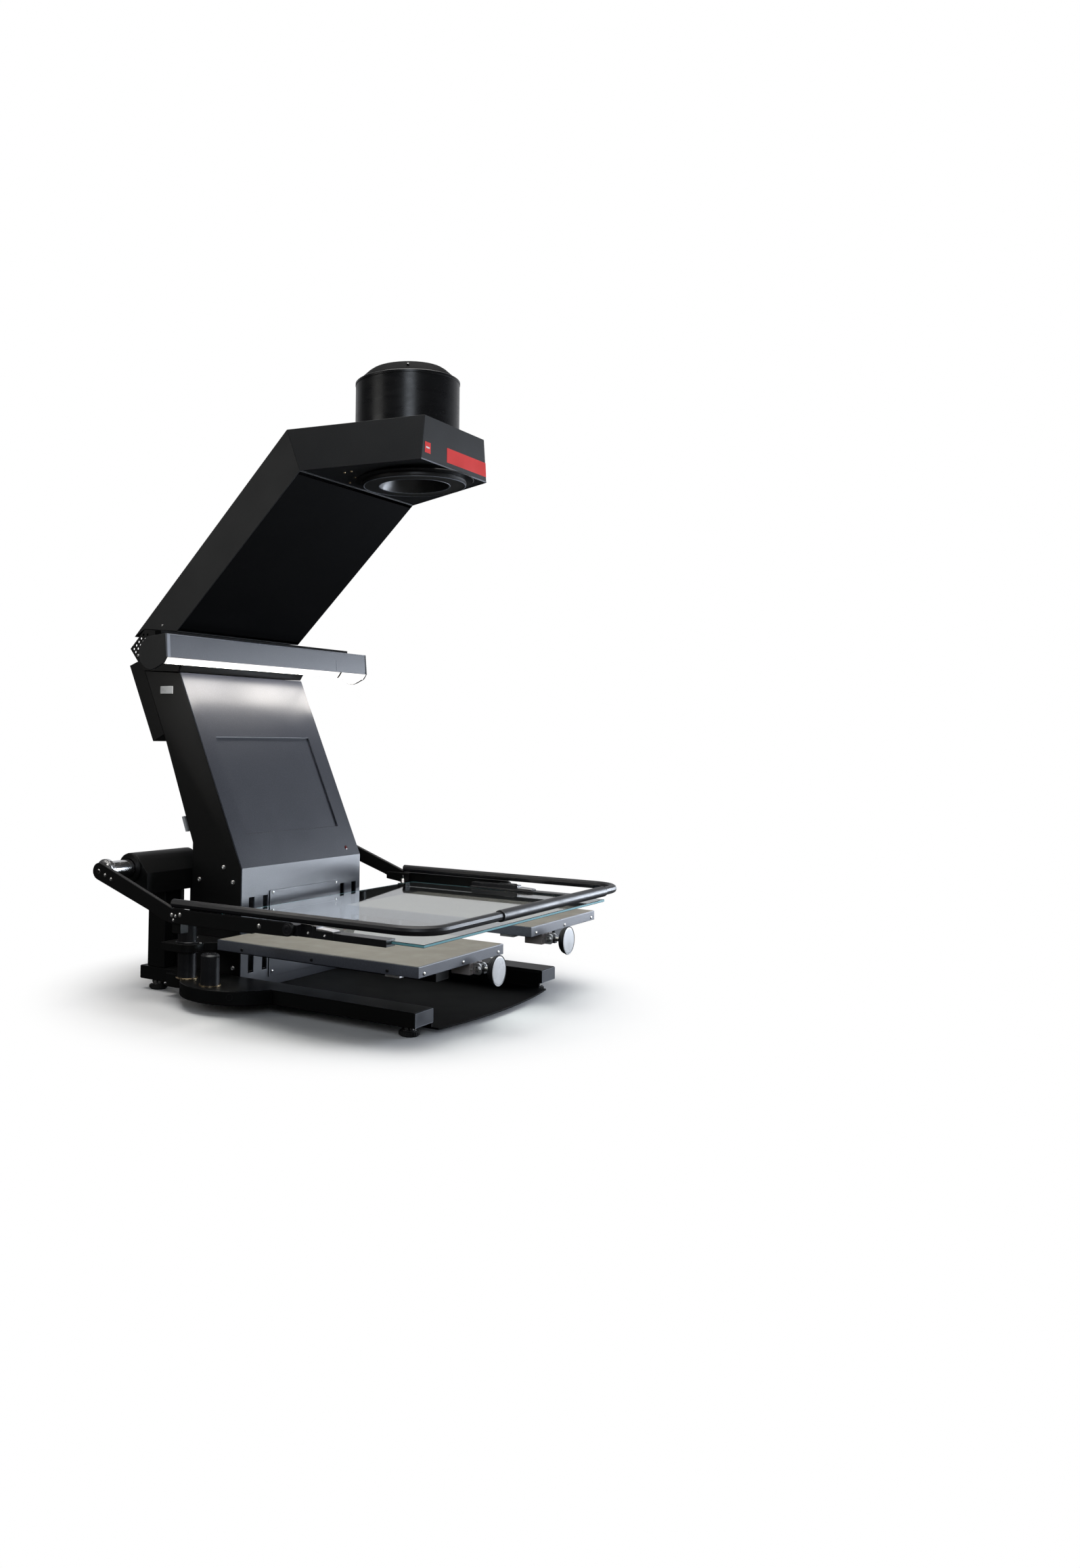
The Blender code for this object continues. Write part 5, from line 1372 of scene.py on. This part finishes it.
# The socket's dark face stands for the shade inside its opening: painted shade.
socket = [(70.0, 74.0), (92.0, 74.0), (92.0, 90.0), (88.0, 94.0), (74.0, 94.0), (70.0, 90.0)]
slab(shape, socket, 126.7, 127.3, "y")
add_piece("inlet_socket_shade", shape, hole_shade_paint, "base")
shape = bmesh.new()
for x, z in ((76.0, 86.0), (86.0, 86.0), (81.0, 80.0)):
    block(shape, (x - 1.0, 127.0, z - 2.4), (x + 1.0, 129.4, z + 2.4))
add_piece("inlet_pins", shape, brass, "base", 0.3)
shape = bmesh.new()
slab(shape, [(126.8, 75.0), (129.8, 76.0), (127.8, 84.0), (127.4, 93.0), (126.8, 93.0)], 97.0, 112.0, "x")
add_piece("inlet_switch", shape, red_print, "base", 0.5)
inlet_screws = [(63.5, 126.9, 84.0), (116.5, 126.9, 84.0)]
screw_set("inlet_screws", inlet_screws, (0, 1, 0), 2.2, zinc, "base")
print("mains inlet at x 90, z 84")

# %% Vents and screws of the back
VENT_ROWS, VENT_COLUMNS = 9, 3
back_up = Vector((0.0, 69.0, 153.5)).normalized()
back_out = Vector((0.0, 153.5, -69.0)).normalized()
back_low = Vector((0.0, 236.0, 484.0))
# Each vent slot is a flat face in the hole paint: painted shade in the openings.
shape = bmesh.new()
for row in range(VENT_ROWS):
    for column in range(VENT_COLUMNS):
        middle = back_low + back_up * (45.0 + 9.0 * row) + back_out * 0.15
        x = (column - 1) * 110.0
        corners = [(x - 42.0, -1.6), (x + 42.0, -1.6), (x + 43.6, 0.0)]
        corners += [(x + 42.0, 1.6), (x - 42.0, 1.6), (x - 43.6, 0.0)]
        ring = []
        for sideways, along in corners:
            ring.append(shape.verts.new(middle + Vector((sideways, 0.0, 0.0)) + back_up * along))
        shape.faces.new(ring)
add_piece("back_vent_shade", shape, hole_shade_paint, "base")
box_screws = []
for rise in (12.0, 156.0):
    box_screws += [back_low + back_up * rise + Vector((x, 0.0, 0.0)) for x in (-188.0, 0.0, 188.0)]
screw_set("box_screws", box_screws, back_out, 2.8, zinc, "base")
sheet_screws = [(x, 125.0, z) for x in (-186.0, 186.0) for z in (30.0, 150.0, 270.0)]
screw_set("sheet_screws", sheet_screws, (0, 1, 0), 2.8, zinc, "base")
print("vents:", VENT_ROWS * VENT_COLUMNS, "screws:", len(box_screws) + len(sheet_screws))

# %% [markdown]
# ## Studio and camera
# The machine stands on a pale floor in soft light. A wide softbox in front gives the front faces
# their lighter tone, one overhead draws the thin lines on the upper edges, and the sides stay dark.

# %% Floor
FLOOR_RADIUS = 14.0
floor_material = bpy.data.materials.new("studio_floor")
floor_material.use_nodes = True
floor_tree = floor_material.node_tree
floor_tree.nodes.clear()
floor_shade = floor_tree.nodes.new("ShaderNodeBsdfDiffuse")
floor_shade.label = "Floor as it is seen"
floor_bounce = floor_tree.nodes.new("ShaderNodeBsdfDiffuse")
floor_bounce.label = "Floor as it lights the machine"
floor_rays = floor_tree.nodes.new("ShaderNodeLightPath")
floor_rays.label = "Is it seen directly?"
floor_place = floor_tree.nodes.new("ShaderNodeTexCoord")
floor_place.label = "Place on the floor"
floor_reach = floor_tree.nodes.new("ShaderNodeVectorMath")
floor_reach.label = "Distance from the machine"
floor_fade = floor_tree.nodes.new("ShaderNodeMapRange")
floor_fade.label = "Shade fades outwards"
floor_white = floor_tree.nodes.new("ShaderNodeEmission")
floor_white.label = "White of the backdrop"
floor_seen = floor_tree.nodes.new("ShaderNodeMixShader")
floor_seen.label = "Shade near, white far"
floor_split = floor_tree.nodes.new("ShaderNodeSeparateXYZ")
floor_split.label = "How far in front"
floor_front = floor_tree.nodes.new("ShaderNodeMapRange")
floor_front.label = "Paler before the machine"
floor_mix = floor_tree.nodes.new("ShaderNodeMixShader")
floor_mix.label = "Seen or bounced"
floor_output = floor_tree.nodes.new("ShaderNodeOutputMaterial")
floor_output.label = "Surface"
seen_frame = floor_tree.nodes.new("NodeFrame")
seen_frame.label = "Floor as it is seen"
bounce_frame = floor_tree.nodes.new("NodeFrame")
bounce_frame.label = "Floor as it lights the machine"
for node in (floor_reach, floor_fade, floor_shade, floor_white, floor_seen):
    node.parent = seen_frame
for node in (floor_split, floor_front, floor_bounce):
    node.parent = bounce_frame
floor_layout = ((floor_place, 0, 2), (floor_reach, 1, 2), (floor_fade, 2, 2), (floor_shade, 2, 3))
floor_layout += ((floor_white, 2, 4), (floor_seen, 3, 2), (floor_rays, 3, 0), (floor_split, 1, 1))
floor_layout += ((floor_front, 2, 1), (floor_bounce, 3, 1), (floor_mix, 4, 0), (floor_output, 5, 0))
for node, column, row in floor_layout:
    node.location = (column * 240, -row * 240)
floor_shade.inputs["Color"].default_value = (0.92, 0.92, 0.92, 1.0)
floor_front.inputs["From Min"].default_value = -0.46
floor_front.inputs["From Max"].default_value = -0.80
floor_front.inputs["To Min"].default_value = 0.03
floor_front.inputs["To Max"].default_value = 0.22
floor_reach.operation = "LENGTH"
floor_fade.interpolation_type = "SMOOTHSTEP"
floor_fade.inputs["From Min"].default_value = 0.40
floor_fade.inputs["From Max"].default_value = 0.64
floor_tree.links.new(floor_rays.outputs["Is Camera Ray"], floor_mix.inputs["Fac"])
floor_tree.links.new(floor_bounce.outputs["BSDF"], floor_mix.inputs[1])
floor_tree.links.new(floor_place.outputs["Object"], floor_reach.inputs[0])
floor_tree.links.new(floor_place.outputs["Object"], floor_split.inputs["Vector"])
floor_tree.links.new(floor_split.outputs["Y"], floor_front.inputs["Value"])
floor_tree.links.new(floor_front.outputs["Result"], floor_bounce.inputs["Color"])
floor_tree.links.new(floor_reach.outputs["Value"], floor_fade.inputs["Value"])
floor_tree.links.new(floor_fade.outputs["Result"], floor_seen.inputs["Fac"])
floor_tree.links.new(floor_shade.outputs["BSDF"], floor_seen.inputs[1])
floor_tree.links.new(floor_white.outputs["Emission"], floor_seen.inputs[2])
floor_tree.links.new(floor_seen.outputs["Shader"], floor_mix.inputs[2])
floor_tree.links.new(floor_mix.outputs["Shader"], floor_output.inputs["Surface"])

floor_shape = bmesh.new()
bmesh.ops.create_circle(floor_shape, cap_ends=True, radius=FLOOR_RADIUS, segments=96)
floor_mesh = bpy.data.meshes.new("studio_floor")
floor_shape.to_mesh(floor_mesh)
floor_shape.free()
floor_mesh.materials.append(floor_material)
floor = bpy.data.objects.new("studio_floor", floor_mesh)
bpy.context.scene.collection.objects.link(floor)
print("floor radius", FLOOR_RADIUS, "m")

# %% Surroundings
world = bpy.data.worlds.new("studio")
bpy.context.scene.world = world
world.use_nodes = True
world_tree = world.node_tree
world_tree.nodes.clear()
sky_place = world_tree.nodes.new("ShaderNodeTexCoord")
sky_place.label = "Direction"
backdrop_way = world_tree.nodes.new("ShaderNodeVectorMath")
backdrop_way.label = "Towards the backdrop"
backdrop_light = world_tree.nodes.new("ShaderNodeMapRange")
backdrop_light.label = "Bright backdrop, dark rest"
sky_rays = world_tree.nodes.new("ShaderNodeLightPath")
sky_rays.label = "Is it seen directly?"
lighting = world_tree.nodes.new("ShaderNodeBackground")
lighting.label = "Room as it lights the machine"
seen = world_tree.nodes.new("ShaderNodeBackground")
seen.label = "White backdrop"
sky_mix = world_tree.nodes.new("ShaderNodeMixShader")
sky_mix.label = "Seen or lighting"
world_output = world_tree.nodes.new("ShaderNodeOutputWorld")
world_output.label = "World"
light_frame = world_tree.nodes.new("NodeFrame")
light_frame.label = "Light from the surroundings"
for node in (backdrop_way, backdrop_light, lighting):
    node.parent = light_frame
sky_layout = ((sky_place, 0, 0), (backdrop_way, 1, 0), (backdrop_light, 2, 0), (lighting, 3, 0))
sky_layout += ((sky_rays, 3, 1), (seen, 3, 2), (sky_mix, 4, 0), (world_output, 5, 0))
for node, column, row in sky_layout:
    node.location = (column * 240, -row * 240)
backdrop_way.operation = "DOT_PRODUCT"
backdrop_way.inputs[1].default_value = Vector((0.90, 0.40, 0.15)).normalized()
backdrop_light.inputs["From Min"].default_value = 0.35
backdrop_light.inputs["From Max"].default_value = 0.95
backdrop_light.inputs["To Min"].default_value = 0.05
backdrop_light.inputs["To Max"].default_value = 0.6
seen.inputs["Strength"].default_value = 1.0
seen.inputs["Color"].default_value = (1.0, 1.0, 1.0, 1.0)
lighting.inputs["Color"].default_value = (0.96, 0.97, 1.0, 1.0)
world_tree.links.new(sky_place.outputs["Generated"], backdrop_way.inputs[0])
world_tree.links.new(backdrop_way.outputs["Value"], backdrop_light.inputs["Value"])
world_tree.links.new(backdrop_light.outputs["Result"], lighting.inputs["Strength"])
world_tree.links.new(sky_rays.outputs["Is Camera Ray"], sky_mix.inputs["Fac"])
world_tree.links.new(lighting.outputs["Background"], sky_mix.inputs[1])
world_tree.links.new(seen.outputs["Background"], sky_mix.inputs[2])
world_tree.links.new(sky_mix.outputs["Shader"], world_output.inputs["Surface"])
bpy.context.scene.view_settings.view_transform = "Standard"
print("surroundings: bright backdrop, dark room")

# %% Softboxes
def softbox(name, place, target, width, height, power, colour):
    """A soft rectangular lamp that looks at a target."""
    light = bpy.data.lights.new(name, "AREA")
    light.shape = "RECTANGLE"
    light.size, light.size_y = width, height
    light.energy = power
    light.color = colour
    lamp = bpy.data.objects.new(name, light)
    bpy.context.scene.collection.objects.link(lamp)
    lamp.location = place
    lamp.rotation_euler = (Vector(target) - Vector(place)).to_track_quat("-Z", "Y").to_euler()
    return lamp


softbox("front_softbox", (2.35, -1.75, 0.50), (0.0, 0.0, 0.35), 2.1, 0.95, 70.0, (0.82, 0.89, 1.0))
softbox("low_softbox", (2.25, -1.6, 0.12), (0.0, -0.1, 0.10), 1.6, 0.22, 14.0, (0.82, 0.89, 1.0))
softbox("top_softbox", (-0.2, -0.2, 3.4), (0.0, 0.0, 0.4), 3.0, 3.0, 100.0, (1.0, 0.99, 0.97))
softbox("window_softbox", (-2.4, -1.9, 1.6), (0.0, 0.0, 0.6), 0.9, 1.5, 16.0, (0.84, 0.91, 1.0))
softbox("side_softbox", (-2.6, 1.7, 1.3), (0.0, 0.1, 0.7), 1.2, 1.4, 9.0, (1.0, 0.99, 0.96))
print("five softboxes")

# %% Camera
CAMERA_PLACE = (-2.0132, -1.3741, 0.4997)
TURN, RISE, TILT = math.radians(54.952), math.radians(2.233), math.radians(0.794)
SENSOR_WIDTH, FOCAL_LENGTH = 36.0, 28.196
SHIFT_X, SHIFT_Y = 0.12934, -0.0612
ahead = Vector((math.sin(TURN) * math.cos(RISE), math.cos(TURN) * math.cos(RISE), math.sin(RISE)))
level = Vector((math.cos(TURN), -math.sin(TURN), 0.0))
upright = level.cross(ahead)
right = level * math.cos(TILT) + upright * math.sin(TILT)
up = upright * math.cos(TILT) - level * math.sin(TILT)
camera_data = bpy.data.cameras.new("camera")
camera_data.sensor_width = SENSOR_WIDTH
camera_data.lens = FOCAL_LENGTH
camera_data.shift_x, camera_data.shift_y = SHIFT_X, SHIFT_Y
camera = bpy.data.objects.new("camera", camera_data)
bpy.context.scene.collection.objects.link(camera)
camera.matrix_world = Matrix.Translation(CAMERA_PLACE) @ Matrix((right, up, -ahead)).transposed().to_4x4()
bpy.context.scene.camera = camera
print("camera at", CAMERA_PLACE)
